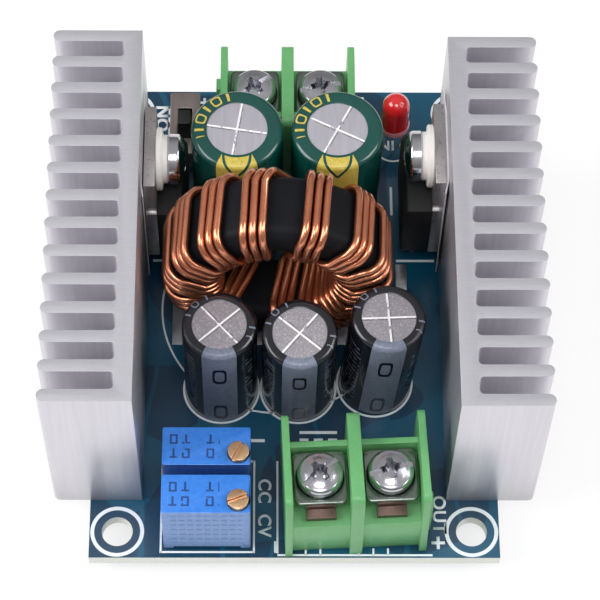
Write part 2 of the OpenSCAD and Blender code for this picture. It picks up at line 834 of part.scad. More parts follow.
module terminal_clamp(pole) {
    low = contact_top + fit_gap / 2;
    color("lightgray") translate([pole * block_half, 0, 0]) difference() {
        rounded_plate([-clamp_width / 2, ledge_depth, low],
            [clamp_width / 2, ledge_depth + clamp_depth, low + clamp_thickness], 0.6);
        bar(0, clamp_middle, low - cut, low + clamp_thickness + cut, screw_radius + fit_gap);
        bar(0, clamp_middle, low + clamp_thickness - screw_sink, low + clamp_thickness + cut,
            clamp_screw_head / 2 + fit_gap * 2);
    }
}

module terminal_screw(pole) {
    seat = contact_top + fit_gap + clamp_thickness - screw_sink;
    color("silver") translate([pole * block_half, clamp_middle, seat]) {
        difference() {
            pan_head(clamp_screw_head, clamp_screw_head_height);
            translate([0, 0, clamp_screw_head_height])
                cross_recess(3, 1.2, clamp_screw_head + cut);
        }
        translate([0, 0, -clamp_screw_length])
            cylinder(r = screw_radius, h = clamp_screw_length);
    }
}

module output_terminal_housing() { at_output_block() terminal_housing(); }
module output_terminal_contacts() { at_output_block() terminal_contacts(); }
module output_clamp_left() { at_output_block() terminal_clamp(left); }
module output_clamp_right() { at_output_block() terminal_clamp(right); }
module output_screw_left() { at_output_block() terminal_screw(left); }
module output_screw_right() { at_output_block() terminal_screw(right); }
module input_terminal_housing() { at_input_block() terminal_housing(); }
module input_terminal_contacts() { at_input_block() terminal_contacts(); }
module input_clamp_left() { at_input_block() terminal_clamp(right); }
module input_clamp_right() { at_input_block() terminal_clamp(left); }
module input_screw_left() { at_input_block() terminal_screw(right); }
module input_screw_right() { at_input_block() terminal_screw(left); }

// ----------------------------------------------------------------- trimmers

adjuster_inset = [1.3, 1.42];
adjuster_depth = 2.8;
trimmer_foot = 0.5;
trimmer_foot_size = 1.1;
trimmer_pin_pitch = 2.54;
trimmer_pin_y = trimmer_width * 0.62;
trimmer_front_y = front_edge + trimmer_setback;
trimmer_rear_y = trimmer_front_y + trimmer_width + trimmer_gap;
adjuster_x = trimmer_length / 2 - adjuster_inset[0];

// A trimmer's own frame: x from its middle, y from its front face, z from the board.
module at_trimmer(y) {
    translate([trimmer_x, y, top]) children();
}

module trimmer_housing() {
    color([0.2, 0.48, 0.82]) difference() {
        rounded_plate([-trimmer_length / 2, 0, 0],
            [trimmer_length / 2, trimmer_width, trimmer_height], 0.25);
        bar(adjuster_x, adjuster_inset[1], trimmer_height - adjuster_depth,
            trimmer_height + cut, adjuster_diameter / 2 + fit_gap);
        box([-trimmer_length / 2 + trimmer_foot_size, -cut, -cut],
            [trimmer_length / 2 - trimmer_foot_size, trimmer_width + cut, trimmer_foot]);
        box([-trimmer_length / 2 - cut, trimmer_foot_size, -cut],
            [trimmer_length / 2 + cut, trimmer_width - trimmer_foot_size, trimmer_foot]);
    }
}

module trimmer_screw() {
    slot_depth = 0.5;
    slot_width = 0.4;
    head = trimmer_height + adjuster_reach;
    color("goldenrod") difference() {
        bar(adjuster_x, adjuster_inset[1], trimmer_height - adjuster_depth + fit_gap, head,
            adjuster_diameter / 2);
        translate([adjuster_x, adjuster_inset[1], head])
            box([-adjuster_diameter, -slot_width / 2, -slot_depth],
                [adjuster_diameter, slot_width / 2, cut]);
    }
}

module trimmer_front_housing() { at_trimmer(trimmer_front_y) trimmer_housing(); }
module trimmer_rear_housing() { at_trimmer(trimmer_rear_y) trimmer_housing(); }
module trimmer_front_screw() { at_trimmer(trimmer_front_y) trimmer_screw(); }
module trimmer_rear_screw() { at_trimmer(trimmer_rear_y) trimmer_screw(); }

module trimmer_pins() {
    color("silver") for (y = [trimmer_front_y, trimmer_rear_y], i = [-1, 0, 1])
        at_trimmer(y)
            bar(i * trimmer_pin_pitch, trimmer_pin_y, -board_thickness - lead_stickout,
                trimmer_foot, trimmer_pin_diameter / 2);
}

// ------------------------------------------------------------- slide switch

switch_half_x = switch_width / 2;
switch_half_y = switch_length / 2;
knob_rest = -knob_travel / 2;
knob_gap = 0.1;
switch_pin_pitch = 2.5;
switch_pin = 0.5;
shell_leg = 0.8;
switch_pad = 0.7;
switch_pad_height = 0.2;
shell_lift = 0.2;
shell_leg_reach = 1;
shell_leg_rise = 0.4;
base_height = 1.2;
slider_gap = 0.3;
slider_height = 1;
slider_overlap = 0.6;

module at_switch() {
    translate([switch_x, switch_y, top]) children();
}

module switch_shell() {
    t = shell_thickness;
    slot_x = knob_width / 2 + knob_gap;
    slot_y = (knob_length + knob_travel) / 2 + knob_gap;
    color([0.62, 0.58, 0.56]) at_switch() {
        difference() {
            rounded_plate([-switch_half_x, -switch_half_y, shell_lift],
                [switch_half_x, switch_half_y, switch_height], 0.3);
            box([-switch_half_x + t, -switch_half_y + t, -cut],
                [switch_half_x - t, switch_half_y - t, switch_height - t]);
            box([-slot_x, -slot_y, switch_height - t - cut], [slot_x, slot_y, switch_height + cut]);
        }
        for (end = [-1, 1])
            box([-shell_leg / 2, end * (switch_half_y - t / 2) - t / 2,
                    -board_thickness - shell_leg_reach],
                [shell_leg / 2, end * (switch_half_y - t / 2) + t / 2, shell_leg_rise]);
    }
}

module switch_base() {
    t = shell_thickness;
    color([0.35, 0.24, 0.16]) at_switch() difference() {
        box([-switch_half_x + t, -switch_half_y + t, 0],
            [switch_half_x - t, switch_half_y - t, base_height]);
        for (i = [-1, 0, 1])
            bar(0, i * switch_pin_pitch, -cut, base_height + cut, switch_pin / 2 + fit_gap / 2);
    }
}

module switch_pins() {
    color("silver") at_switch() for (i = [-1, 0, 1]) {
        bar(0, i * switch_pin_pitch, -board_thickness - lead_stickout, base_height,
            switch_pin / 2);
        bar(0, i * switch_pin_pitch, base_height, base_height + switch_pad_height, switch_pad);
    }
}

module switch_knob() {
    slider_low = base_height + slider_gap;
    slider_x = switch_half_x - shell_thickness - knob_gap;
    color([0.1, 0.1, 0.11]) at_switch() translate([0, knob_rest, 0]) {
        box([-slider_x, -knob_length / 2 - slider_overlap, slider_low],
            [slider_x, knob_length / 2 + slider_overlap, slider_low + slider_height]);
        box([-knob_width / 2, -knob_length / 2, slider_low],
            [knob_width / 2, knob_length / 2, switch_height + knob_reach]);
    }
}

// ----------------------------------------------------------- indicator lamp

lamp_lead_half = 1.27;
lamp_lead_rise = 1.5;

module at_lamp() {
    translate([lamp_x, lamp_y, top]) children();
}

module lamp_lead_at(side, gap, high) {
    half = lamp_lead / 2 + gap;
    translate([side * lamp_lead_half, 0, 0])
        box([-half, -half, -board_thickness - lead_stickout], [half, half, high]);
}

module lamp_lens() {
    r = lamp_diameter / 2;
    color([0.86, 0.1, 0.12]) at_lamp() difference() {
        translate([0, 0, lamp_lift])
            rotate_extrude()
                polygon(concat([[0, 0], [r, 0]], arc([0, lamp_height - r], r, 0, 90, 8)));
        for (side = [left, right]) lamp_lead_at(side, fit_gap / 2, lamp_lift + lamp_lead_rise + fit_gap);
    }
}

module lamp_leads() {
    color("silver") at_lamp()
        for (side = [left, right]) lamp_lead_at(side, 0, lamp_lift + lamp_lead_rise);
}

// --------------------------------------------------------- underside parts

control_chip_at = [-12, 0];
sense_chip_length = 4.9;
sense_chip_at = [6.4, 1.2];
chip_pin_pitch = 1.27;
chip_pin_width = 0.42;
chip_pin_reach = 1;
chip_pin_thickness = 0.2;
chip_standoff = 0.1;
shunt_setback = 12.6;
shunts_at = [[3.6, front_edge + shunt_setback], [10.6, front_edge + shunt_setback]];
small_resistor = [2, 1.25, 0.5];
// Rows of small resistors: first place, count, step along X.
resistor_rows = [
    [[-14.6, -5.6], 3, 2.9], [[-15.4, 5.6], 3, 2.6], [[4, -4.6], 3, 2.9], [[4, 6.4], 3, 2.9]];

module chip_body(at, length) {
    translate([at[0], at[1], 0])
        box([-length / 2, -chip_width / 2, -chip_standoff - chip_height],
            [length / 2, chip_width / 2, -chip_standoff]);
}

module chip_pins(at, length) {
    count = floor((length - 0.6) / chip_pin_pitch) + 1;
    middle = -chip_standoff - chip_height / 2;
    for (i = [0:count - 1], side = [-1, 1])
        translate([at[0] + (i - (count - 1) / 2) * chip_pin_pitch, at[1], 0]) {
            box([-chip_pin_width / 2,
                    min(side * chip_width / 2, side * (chip_width / 2 + chip_pin_reach)),
                    -chip_pin_thickness],
                [chip_pin_width / 2,
                    max(side * chip_width / 2, side * (chip_width / 2 + chip_pin_reach)), 0]);
            box([-chip_pin_width / 2,
                    min(side * chip_width / 2, side * (chip_width / 2 + chip_pin_thickness)), middle],
                [chip_pin_width / 2,
                    max(side * chip_width / 2, side * (chip_width / 2 + chip_pin_thickness)), 0]);
        }
}

module control_chips() {
    color([0.12, 0.12, 0.13]) {
        chip_body(control_chip_at, control_chip_length);
        chip_body(sense_chip_at, sense_chip_length);
    }
}

module control_chip_pins() {
    color("silver") {
        chip_pins(control_chip_at, control_chip_length);
        chip_pins(sense_chip_at, sense_chip_length);
    }
}

module underside_resistors() {
    color([0.15, 0.15, 0.16]) {
        for (at = shunts_at)
            translate([at[0], at[1], 0])
                box([-shunt_length / 2, -shunt_width / 2, -shunt_height],
                    [shunt_length / 2, shunt_width / 2, 0]);
        for (row = resistor_rows, i = [0:row[1] - 1])
            translate([row[0][0] + i * row[2], row[0][1], 0])
                box([-small_resistor[0] / 2, -small_resistor[1] / 2, -small_resistor[2]],
                    [small_resistor[0] / 2, small_resistor[1] / 2, 0]);
    }
}

// -------------------------------------------------- board and solder joints

// Runs its children at every lead, with $lead_half set to the lead's half width.
module at_each_lead() {
    for (i = [left, right], side = [left, right])
        lead_spot(input_can_x + i * input_pitch / 2 + side * input_lead_pitch / 2,
            input_can_y, lead_radius) children();
    for (i = [-1, 0, 1], side = [left, right])
        lead_spot(output_spot(i)[0] + side * output_lead_pitch / 2,
            output_spot(i)[1], lead_radius) children();
    for (i = [-1, 0, 1]) {
        lead_x = heatsink_x - sheet_thickness - device_lead_offset - device_lead_thickness / 2;
        half = norm([device_lead_width, device_lead_thickness]) / 2;
        lead_spot(-lead_x, left_device_y + i * device_lead_pitch, half) children();
        lead_spot(lead_x, right_device_y + i * device_lead_pitch, half) children();
        lead_spot(switch_x, switch_y + i * switch_pin_pitch, switch_pin / 2) children();
        for (y = [trimmer_front_y, trimmer_rear_y])
            lead_spot(trimmer_x + i * trimmer_pin_pitch, y + trimmer_pin_y,
                trimmer_pin_diameter / 2) children();
        for (angle = [start_angle, end_angle])
            lead_spot(coil_x + lead_foot(angle, i)[0], coil_y + lead_foot(angle, i)[1],
                strand_diameter / 2) children();
    }
    for (side = [left, right]) {
        lead_spot(lamp_x + side * lamp_lead_half, lamp_y, lamp_lead * 0.72) children();
        at_output_block() contact_spot(side) children();
        at_input_block() contact_spot(side) children();
        lead_spot(switch_x, switch_y + side * (switch_half_y - shell_thickness / 2),
            shell_leg / 2 + 0.05) children();
    }
}

module lead_spot(x, y, half) {
    translate([x, y, 0]) {
        $lead_half = half;
        children();
    }
}

module contact_spot(side) {
    translate([side * block_half, contact_rear - contact_thickness / 2, -top]) {
        $lead_half = norm([pin_width, contact_thickness]) / 2;
        children();
    }
}

module circuit_board() {
    hole_x = board_width / 2 - mount_hole_inset;
    hole_y = board_length / 2 - mount_hole_inset;
    color([0.05, 0.3, 0.42]) difference() {
        box([-board_width / 2, front_edge, 0], [board_width / 2, rear_edge, top]);
        for (x = [-hole_x, hole_x], y = [-hole_y, hole_y])
            bar(x, y, -cut, top + cut, mount_hole_diameter / 2);
        foot_screw_places()
            bar(0, 0, -cut, top + cut, foot_screw_diameter / 2 + fit_gap);
        at_each_lead() bar(0, 0, -cut, top + cut, $lead_half + lead_gap);
    }
}

module solder_joints() {
    wall = 0.35;
    color([0.72, 0.72, 0.74]) difference() {
        at_each_lead()
            translate([0, 0, -solder_height])
                cylinder(r1 = $lead_half + 0.12, r2 = $lead_half + lead_gap + wall,
                    h = solder_height);
        at_each_lead() bar(0, 0, -solder_height - cut, cut, $lead_half);
    }
}

circuit_board();
heatsink_left();
heatsink_right();
heatsink_screws();
transistor_frame();
transistor_body();
transistor_sheet();
transistor_bush();
transistor_screw();
rectifier_frame();
rectifier_body();
rectifier_sheet();
rectifier_bush();
rectifier_screw();
input_capacitor_left_sleeve();
input_capacitor_left_can();
input_capacitor_right_sleeve();
input_capacitor_right_can();
input_capacitor_seals();
input_capacitor_leads();
output_capacitor_left_sleeve();
output_capacitor_left_can();
output_capacitor_middle_sleeve();
output_capacitor_middle_can();
output_capacitor_right_sleeve();
output_capacitor_right_can();
output_capacitor_seals();
output_capacitor_leads();
coil_core();
coil_strand_1();
coil_strand_2();
coil_strand_3();
output_terminal_housing();
output_terminal_contacts();
output_clamp_left();
output_clamp_right();
output_screw_left();
output_screw_right();
input_terminal_housing();
input_terminal_contacts();
input_clamp_left();
input_clamp_right();
input_screw_left();
input_screw_right();
trimmer_front_housing();
trimmer_rear_housing();
trimmer_front_screw();
trimmer_rear_screw();
trimmer_pins();
switch_shell();
switch_base();
switch_pins();
switch_knob();
lamp_lens();
lamp_leads();
control_chips();
control_chip_pins();
underside_resistors();
solder_joints();
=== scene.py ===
import math

import bpy
from mathutils import Matrix, Vector


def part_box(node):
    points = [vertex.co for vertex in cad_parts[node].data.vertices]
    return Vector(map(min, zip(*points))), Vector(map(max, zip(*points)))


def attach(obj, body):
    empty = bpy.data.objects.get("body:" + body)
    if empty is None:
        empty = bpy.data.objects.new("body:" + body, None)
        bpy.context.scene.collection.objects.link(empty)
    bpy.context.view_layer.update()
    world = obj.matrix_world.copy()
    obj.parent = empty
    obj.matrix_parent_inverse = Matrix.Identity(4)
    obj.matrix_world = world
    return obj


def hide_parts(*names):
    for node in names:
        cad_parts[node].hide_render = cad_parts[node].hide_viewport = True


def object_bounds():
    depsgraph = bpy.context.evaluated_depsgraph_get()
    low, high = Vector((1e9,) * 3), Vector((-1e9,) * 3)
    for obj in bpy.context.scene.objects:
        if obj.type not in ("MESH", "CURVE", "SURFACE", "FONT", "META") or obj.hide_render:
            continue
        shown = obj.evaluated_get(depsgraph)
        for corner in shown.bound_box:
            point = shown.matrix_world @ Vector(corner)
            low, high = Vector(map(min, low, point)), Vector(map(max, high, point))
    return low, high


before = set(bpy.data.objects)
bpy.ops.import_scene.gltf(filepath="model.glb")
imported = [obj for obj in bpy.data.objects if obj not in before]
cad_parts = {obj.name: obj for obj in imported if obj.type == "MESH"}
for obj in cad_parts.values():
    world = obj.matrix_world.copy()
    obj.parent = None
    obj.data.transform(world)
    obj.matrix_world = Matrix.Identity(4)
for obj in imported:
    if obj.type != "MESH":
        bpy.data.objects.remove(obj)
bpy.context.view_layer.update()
MM = 0.001
TO_MM = 1000

# ------------------------------------------------------------- circuit board
# A glass-fibre board with a dark blue lacquer over its copper and bare fibre on its edges.
# It is cut and drilled as one sheet, so the frame's solid stays and only gets its finish.


class Wire:
    """One value in a material's nodes, written in plain arithmetic."""

    def __init__(self, tree, socket):
        self.tree, self.socket = tree, socket

    def work(self, operation, *values):
        maths = self.tree.nodes.new("ShaderNodeMath")
        maths.operation = operation
        for slot, value in zip(maths.inputs, values):
            if isinstance(value, Wire):
                self.tree.links.new(value.socket, slot)
            else:
                slot.default_value = value
        return Wire(self.tree, maths.outputs[0])

    def __add__(self, other):
        return self.work("ADD", self, other)

    __radd__ = __add__

    def __sub__(self, other):
        return self.work("SUBTRACT", self, other)

    def __rsub__(self, other):
        return self.work("SUBTRACT", other, self)

    def __mul__(self, other):
        return self.work("MULTIPLY", self, other)

    __rmul__ = __mul__

    def __truediv__(self, other):
        return self.work("DIVIDE", self, other)

    def __gt__(self, other):
        return self.work("GREATER_THAN", self, other)

    def __lt__(self, other):
        return self.work("LESS_THAN", self, other)

    def size(self):
        return self.work("ABSOLUTE", self)

    def root(self):
        return self.work("SQRT", self)

    def wave(self):
        return self.work("SINE", self)

    def repeat(self, rate):
        return self.work("FRACT", self * rate)

    def between(self, low, high):
        return (self > low) * (self < high)

    def held(self):
        return self.work("MINIMUM", self.work("MAXIMUM", self, 0.0), 1.0)


def ink(red, green, blue):
    """A colour as it looks on a screen, from 0 to 255, as the shader takes it."""
    parts = [v / 255 for v in (red, green, blue)]
    linear = [v / 12.92 if v <= 0.04045 else ((v + 0.055) / 1.055) ** 2.4 for v in parts]
    return (*linear, 1.0)


class Finish:
    """A material being made up, with the place on the piece as its start."""

    def __init__(self, name):
        self.material = bpy.data.materials.new(name)
        self.material.use_nodes = True
        self.tree = self.material.node_tree
        self.tree.nodes.clear()
        self.place = self.node("ShaderNodeTexCoord", out="Object")

    def node(self, kind, settings=(), values=(), out=0):
        made = self.tree.nodes.new(kind)
        for key, value in dict(settings).items():
            if key == "stops":
                for stop, (at, colour) in zip(made.color_ramp.elements, value):
                    stop.position, stop.color = at, colour
            else:
                setattr(made, key, value)
        for key, value in dict(values).items():
            if isinstance(value, Wire):
                self.tree.links.new(value.socket, made.inputs[key])
            else:
                made.inputs[key].default_value = value
        return None if out is None else Wire(self.tree, made.outputs[out])

    def axes(self, place=None):
        place = place or self.place
        return [self.node("ShaderNodeSeparateXYZ", values={0: place}, out=i) for i in range(3)]

    def stretched(self, scale, move=(0, 0, 0), turn=(0, 0, 0)):
        values = {"Vector": self.place, "Scale": scale, "Location": move, "Rotation": turn}
        return self.node("ShaderNodeMapping", values=values)

    def noise(self, scale, detail, place=None):
        values = {"Vector": place or self.place, "Scale": scale, "Detail": detail}
        return self.node("ShaderNodeTexNoise", values=values)

    def mix(self, factor, first, second):
        settings = {"data_type": "RGBA"}
        return self.node("ShaderNodeMix", settings, {0: factor, 6: first, 7: second}, out=2)

    def facing_up(self):
        normal = self.node("ShaderNodeNewGeometry", out="Normal")
        return self.axes(normal)[2]

    def bump(self, height, depth, strength):
        values = {"Height": height, "Distance": depth, "Strength": strength}
        return self.node("ShaderNodeBump", values=values)

    def shown(self, colour, roughness, normal=None, **fixed):
        values = {"Base Color": colour, "Roughness": roughness}
        values.update({key.replace("_", " "): value for key, value in fixed.items()})
        if normal:
            values["Normal"] = normal
        shader = self.node("ShaderNodeBsdfPrincipled", values=values, out="BSDF")
        output = self.tree.nodes.new("ShaderNodeOutputMaterial")
        self.tree.links.new(shader.socket, output.inputs["Surface"])
        return self.material


def lacquer():
    finish = Finish("blue_lacquer")
    x, y, z = finish.axes()
    weave = finish.noise(2600, 1.0)
    pour = finish.noise(95, 0.0, finish.stretched((1, 1, 0), move=(0.021, 0.013, 0))) > 0.52
    wander = x * 900 + finish.noise(60, 0.0) * 9
    tracks = wander.wave() > 0.97
    copper = (pour + tracks).held()
    bare = finish.mix(weave * 0.5, ink(3, 50, 76), ink(4, 64, 90))
    over = finish.mix(weave * 0.5, ink(3, 78, 106), ink(5, 92, 120))
    face = finish.mix(copper * 0.75, bare, over)
    fibre = finish.mix(finish.noise(5200, 2.0), ink(206, 209, 200), ink(230, 232, 226))
    edge = finish.facing_up().size() < 0.5
    relief = finish.bump(copper + weave * 0.2, 0.00003, 0.35)
    return finish.shown(finish.mix(edge, face, fibre), 0.3 + edge * 0.4, relief, Coat_Weight=0.1)


def select_only(piece):
    bpy.ops.object.select_all(action="DESELECT")
    piece.select_set(True)
    bpy.context.view_layer.objects.active = piece


def dress(node, material):
    """Gives a solid of the frame its finish, with its shape as it is."""
    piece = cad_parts[node]
    piece.data.materials.clear()
    piece.data.materials.append(material)


board_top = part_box("circuit_board")[1].z
dress("circuit_board", lacquer())

# ------------------------------------------------------- printing on the board
# White epoxy ink, screened on the lacquer in one pass and baked, so it stands up a little.
# Rings mark the corner holes, lines mark the parts, and words tell the terminals apart.

INK_THICKNESS = 0.03 * MM


def settle(piece, name, material, body="module", smooth=None):
    """Puts a made piece's place into its mesh and gives it name, finish and body."""
    select_only(piece)
    bpy.ops.object.transform_apply(location=True, rotation=True, scale=True)
    piece.name = name
    piece.data.name = name
    piece.data.materials.clear()
    piece.data.materials.append(material)
    if smooth is not None:
        bpy.ops.object.shade_smooth_by_angle(angle=math.radians(smooth))
    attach(piece, body)


def apply_all(piece):
    """Works every modifier of a piece into its mesh."""
    select_only(piece)
    for modifier in list(piece.modifiers):
        bpy.ops.object.modifier_apply(modifier=modifier.name)


def joined(pieces):
    """Several made shapes as one piece."""
    bpy.ops.object.select_all(action="DESELECT")
    for piece in pieces:
        piece.select_set(True)
    bpy.context.view_layer.objects.active = pieces[0]
    bpy.ops.object.transform_apply(location=True, rotation=True, scale=True)
    bpy.ops.object.join()
    return bpy.context.object


def printed_bar(x, y, width, length):
    bpy.ops.object.select_all(action="DESELECT")
    bpy.ops.mesh.primitive_plane_add(size=1, location=(x * MM, y * MM, board_top))
    bpy.context.object.scale = (width * MM, length * MM, 1)
    return bpy.context.object


def printed_ring(x, y, radius, width, sides=48):
    bpy.ops.object.select_all(action="DESELECT")
    bpy.ops.mesh.primitive_circle_add(
        vertices=sides, radius=radius * MM, fill_type="NGON", location=(x * MM, y * MM, board_top))
    bpy.ops.object.mode_set(mode="EDIT")
    bpy.ops.mesh.select_all(action="SELECT")
    bpy.ops.mesh.inset(thickness=width * MM)
    bpy.ops.mesh.delete(type="FACE")
    bpy.ops.object.mode_set(mode="OBJECT")
    return bpy.context.object


def printed_word(word, x, y, size, turn=0, bold=0.05):
    bpy.ops.object.select_all(action="DESELECT")
    bpy.ops.object.text_add(
        location=(x * MM, y * MM, board_top), rotation=(0, 0, math.radians(turn)))
    text = bpy.context.object
    text.data.body = word
    text.data.size = size * MM
    text.data.align_x = "CENTER"
    text.data.align_y = "CENTER"
    text.data.space_character = 1.08
    text.data.offset = bold * MM
    bpy.ops.object.convert(target="MESH")
    return bpy.context.object


def thicken(piece, thickness):
    solid = piece.modifiers.new("thickness", "SOLIDIFY")
    solid.thickness = thickness
    solid.offset = 1
    apply_all(piece)


def printing_ink():
    finish = Finish("white_ink")
    wear = finish.noise(3000, 3.0)
    colour = finish.mix(wear, ink(214, 222, 228), ink(238, 242, 244))
    return finish.shown(colour, 0.5, finish.bump(wear, 0.00002, 0.3))


terminal_low, terminal_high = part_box("output_terminal_housing")
inlet_low, inlet_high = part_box("input_terminal_housing")
trim_low, trim_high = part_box("trimmer_front_housing")
trim_rear_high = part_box("trimmer_rear_housing")[1]
switch_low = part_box("switch_shell")[0]
lamp_low, lamp_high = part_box("lamp_lens")
lamp_x, lamp_y = (lamp_low.x + lamp_high.x) / 2 / MM, (lamp_low.y + lamp_high.y) / 2 / MM

hole_x, hole_y = 19.45, 26.95
line = 0.22
marks = [printed_ring(x, y, 2.95, 0.42) for x in (-hole_x, hole_x) for y in (-hole_y, hole_y)]

# A frame round both trimmers.
left, right = trim_low.x / MM - 0.35, trim_high.x / MM + 0.35
front, rear = trim_low.y / MM - 0.45, trim_rear_high.y / MM + 0.35
marks += [
    printed_bar((left + right) / 2, front, right - left, line),
    printed_bar((left + right) / 2, rear, right - left, line),
    printed_bar(left, (front + rear) / 2, line, rear - front + line),
    printed_bar(right, (front + rear) / 2, line, rear - front + line),
]

# The outlet's outline with its short ticks, then single lines and rings by other parts.
coil_x, coil_y, coil_outline = -1.9, 0.6, 13.3
left, right = terminal_low.x / MM - 0.3, terminal_high.x / MM + 0.2
marks += [printed_bar((left + right) / 2, -29.7, right - left, line)]
marks += [printed_bar(left + step, -29.3, line, 0.8) for step in (1.4, 3.1, 4.7, 8.9, 10.5, 12.1)]
marks += [
    printed_bar(left, -24, line, 11),
    printed_bar((inlet_low.x + inlet_high.x) / 2 / MM, 29.6, 15.4, line),
    printed_bar(switch_low.x / MM - 0.25, 23.4, line, 9),
    printed_bar(11.5, 14.9, 0.3, 3.8),
    printed_bar(14.1, 6.9, 4.4, 0.3),
    printed_bar(-14.6, 6.9, 3.4, 0.3),
    printed_ring(lamp_x, lamp_y, 2.25, line),
    printed_ring(coil_x, coil_y, coil_outline, line, sides=96),
]

# A ring round each can's foot. The leaning cans take theirs from the upright one beside them.
can_spots = []
for name in ("input_capacitor_left", "input_capacitor_right", "output_capacitor_left"):
    low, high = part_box(name + "_sleeve")
    radius = (high.x - low.x) / 2 / MM
    can_spots.append(((low.x + high.x) / 2 / MM, (low.y + high.y) / 2 / MM, radius))
left_spot = can_spots[-1]
middle_spot = sum(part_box("output_capacitor_middle_sleeve"), Vector()) / 2 / MM
right_spot = sum(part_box("output_capacitor_right_sleeve"), Vector()) / 2 / MM
can_spots.append((middle_spot.x, left_spot[1], left_spot[2]))
can_spots.append((2 * middle_spot.x - left_spot[0], right_spot.y, left_spot[2]))
marks += [printed_ring(x, y, radius + 0.28, 0.24, sides=64) for x, y, radius in can_spots]

# Polarity signs, the terminals' and adjusters' words, and a direct-current sign.
marks += [
    printed_word("+", 15.75, -28.4, 2.9),
    printed_word("OUT", 15.9, -24.9, 2.05, turn=-90),
    printed_bar(-2.1, -28.75, 0.28, 1.35),
    printed_word("CC", -3.35, -22.1, 2.0, turn=-90),
    printed_word("CV", -3.35, -26.2, 2.0, turn=-90),
    printed_word("ON", -15.5, 26.2, 2.2, turn=90, bold=0.09),
    printed_word("IN", 11.1, 22.6, 1.8, turn=180),
    printed_word("+", -10.6, 28.3, 2.6),
    printed_bar(-4.1, -16.0, 1.6, 0.36),
    printed_bar(2.7, -15.0, 4.2, 0.34),
    *(printed_bar(2.7 + step, -15.9, 1.0, 0.34) for step in (-1.6, 0, 1.6)),
    printed_bar(8.35, 28.6, 0.28, 1.35),
]
printing = joined(marks)
thicken(printing, INK_THICKNESS)
settle(printing, "board_printing", printing_ink())

# ------------------------------------------------------------------ heatsinks
# Two lengths of finned aluminium extrusion, left bare. Their sides keep fine drawing lines,
# and their sawn ends face up, with the saw's marks across them.


def break_edges(piece, width, angle):
    """Rounds the edges that are sharper than an angle in degrees."""
    bevel = piece.modifiers.new("broken edges", "BEVEL")
    bevel.width = width * MM
    bevel.segments = 2
    bevel.limit_method = "ANGLE"
    bevel.angle_limit = math.radians(angle)
    apply_all(piece)


def refined(node, name, material, body="module", edge=0.1, angle=35):
    """A CAD shape with its edges broken, as moulding, pressing or tumbling leaves them."""
    piece = bpy.data.objects.new(name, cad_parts[node].data.copy())
    bpy.context.scene.collection.objects.link(piece)
    select_only(piece)
    bpy.ops.mesh.customdata_custom_splitnormals_clear()
    bpy.ops.object.mode_set(mode="EDIT")
    bpy.ops.mesh.select_all(action="SELECT")
    bpy.ops.mesh.remove_doubles(threshold=1e-6)
    bpy.ops.mesh.dissolve_limited(angle_limit=math.radians(1))
    bpy.ops.object.mode_set(mode="OBJECT")
    if edge:
        break_edges(piece, edge, angle)
    settle(piece, name, material, body, smooth=angle)
    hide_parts(node)
    return piece


def bare_aluminium():
    finish = Finish("bare_aluminium")
    drawn = finish.noise(2400, 2.0, finish.stretched((1, 1, 0.03)))
    sawn = finish.noise(5200, 3.0, finish.stretched((0.12, 1, 1)))
    pits = finish.noise(4200, 4.0) > 0.66
    top = finish.facing_up() > 0.7
    side = finish.mix(drawn, ink(202, 200, 206), ink(222, 219, 226))
    end = finish.mix(sawn, ink(164, 163, 169), ink(178, 177, 183))
    colour = finish.mix(top, side, end)
    colour = finish.mix(pits * top * 0.3, colour, ink(138, 136, 142))
    height = finish.axes(finish.mix(top, drawn, sawn))[0]
    rough = 0.31 + height * 0.08 + top * 0.17
    return finish.shown(colour, rough, finish.bump(height, 0.00002, 0.15), Metallic=0.8 - top * 0.5)


aluminium = bare_aluminium()
for side in ("left", "right"):
    refined("heatsink_" + side, "heatsink_" + side + "_extrusion", aluminium, edge=0.06)

# ----------------------------------------------------------- heatsink screws
# Four zinc-plated pan-head screws, driven up into the slots between the fins.


def plated(name, dark, light, roughness, spots=0.0):
    """Bright metal plate, a little uneven, with fine handling marks."""
    finish = Finish(name)
    cloud = finish.noise(420, 3.0)
    scratch = finish.noise(3800, 2.0, finish.stretched((1, 0.08, 1), turn=(0, 0, 0.5)))
    colour = finish.mix(cloud, ink(*dark), ink(*light))
    spot = (finish.noise(2600, 4.0) > 0.62) * spots
    colour = finish.mix(spot, colour, ink(*(v * 0.55 for v in dark)))
    relief = finish.bump(scratch + cloud, 0.00002, 0.3)
    return finish.shown(colour, roughness + scratch * 0.12, relief, Metallic=1.0)


zinc = plated("zinc_plate", (168, 170, 176), (214, 216, 220), 0.22)
dress("heatsink_screws", zinc)

# -------------------------------------------------------------- power devices
# A transistor and a rectifier, each a black moulding on a tinned copper tab. A screw in a
# nylon bush presses the tab against the heatsink, with a thin grey rubber sheet between.


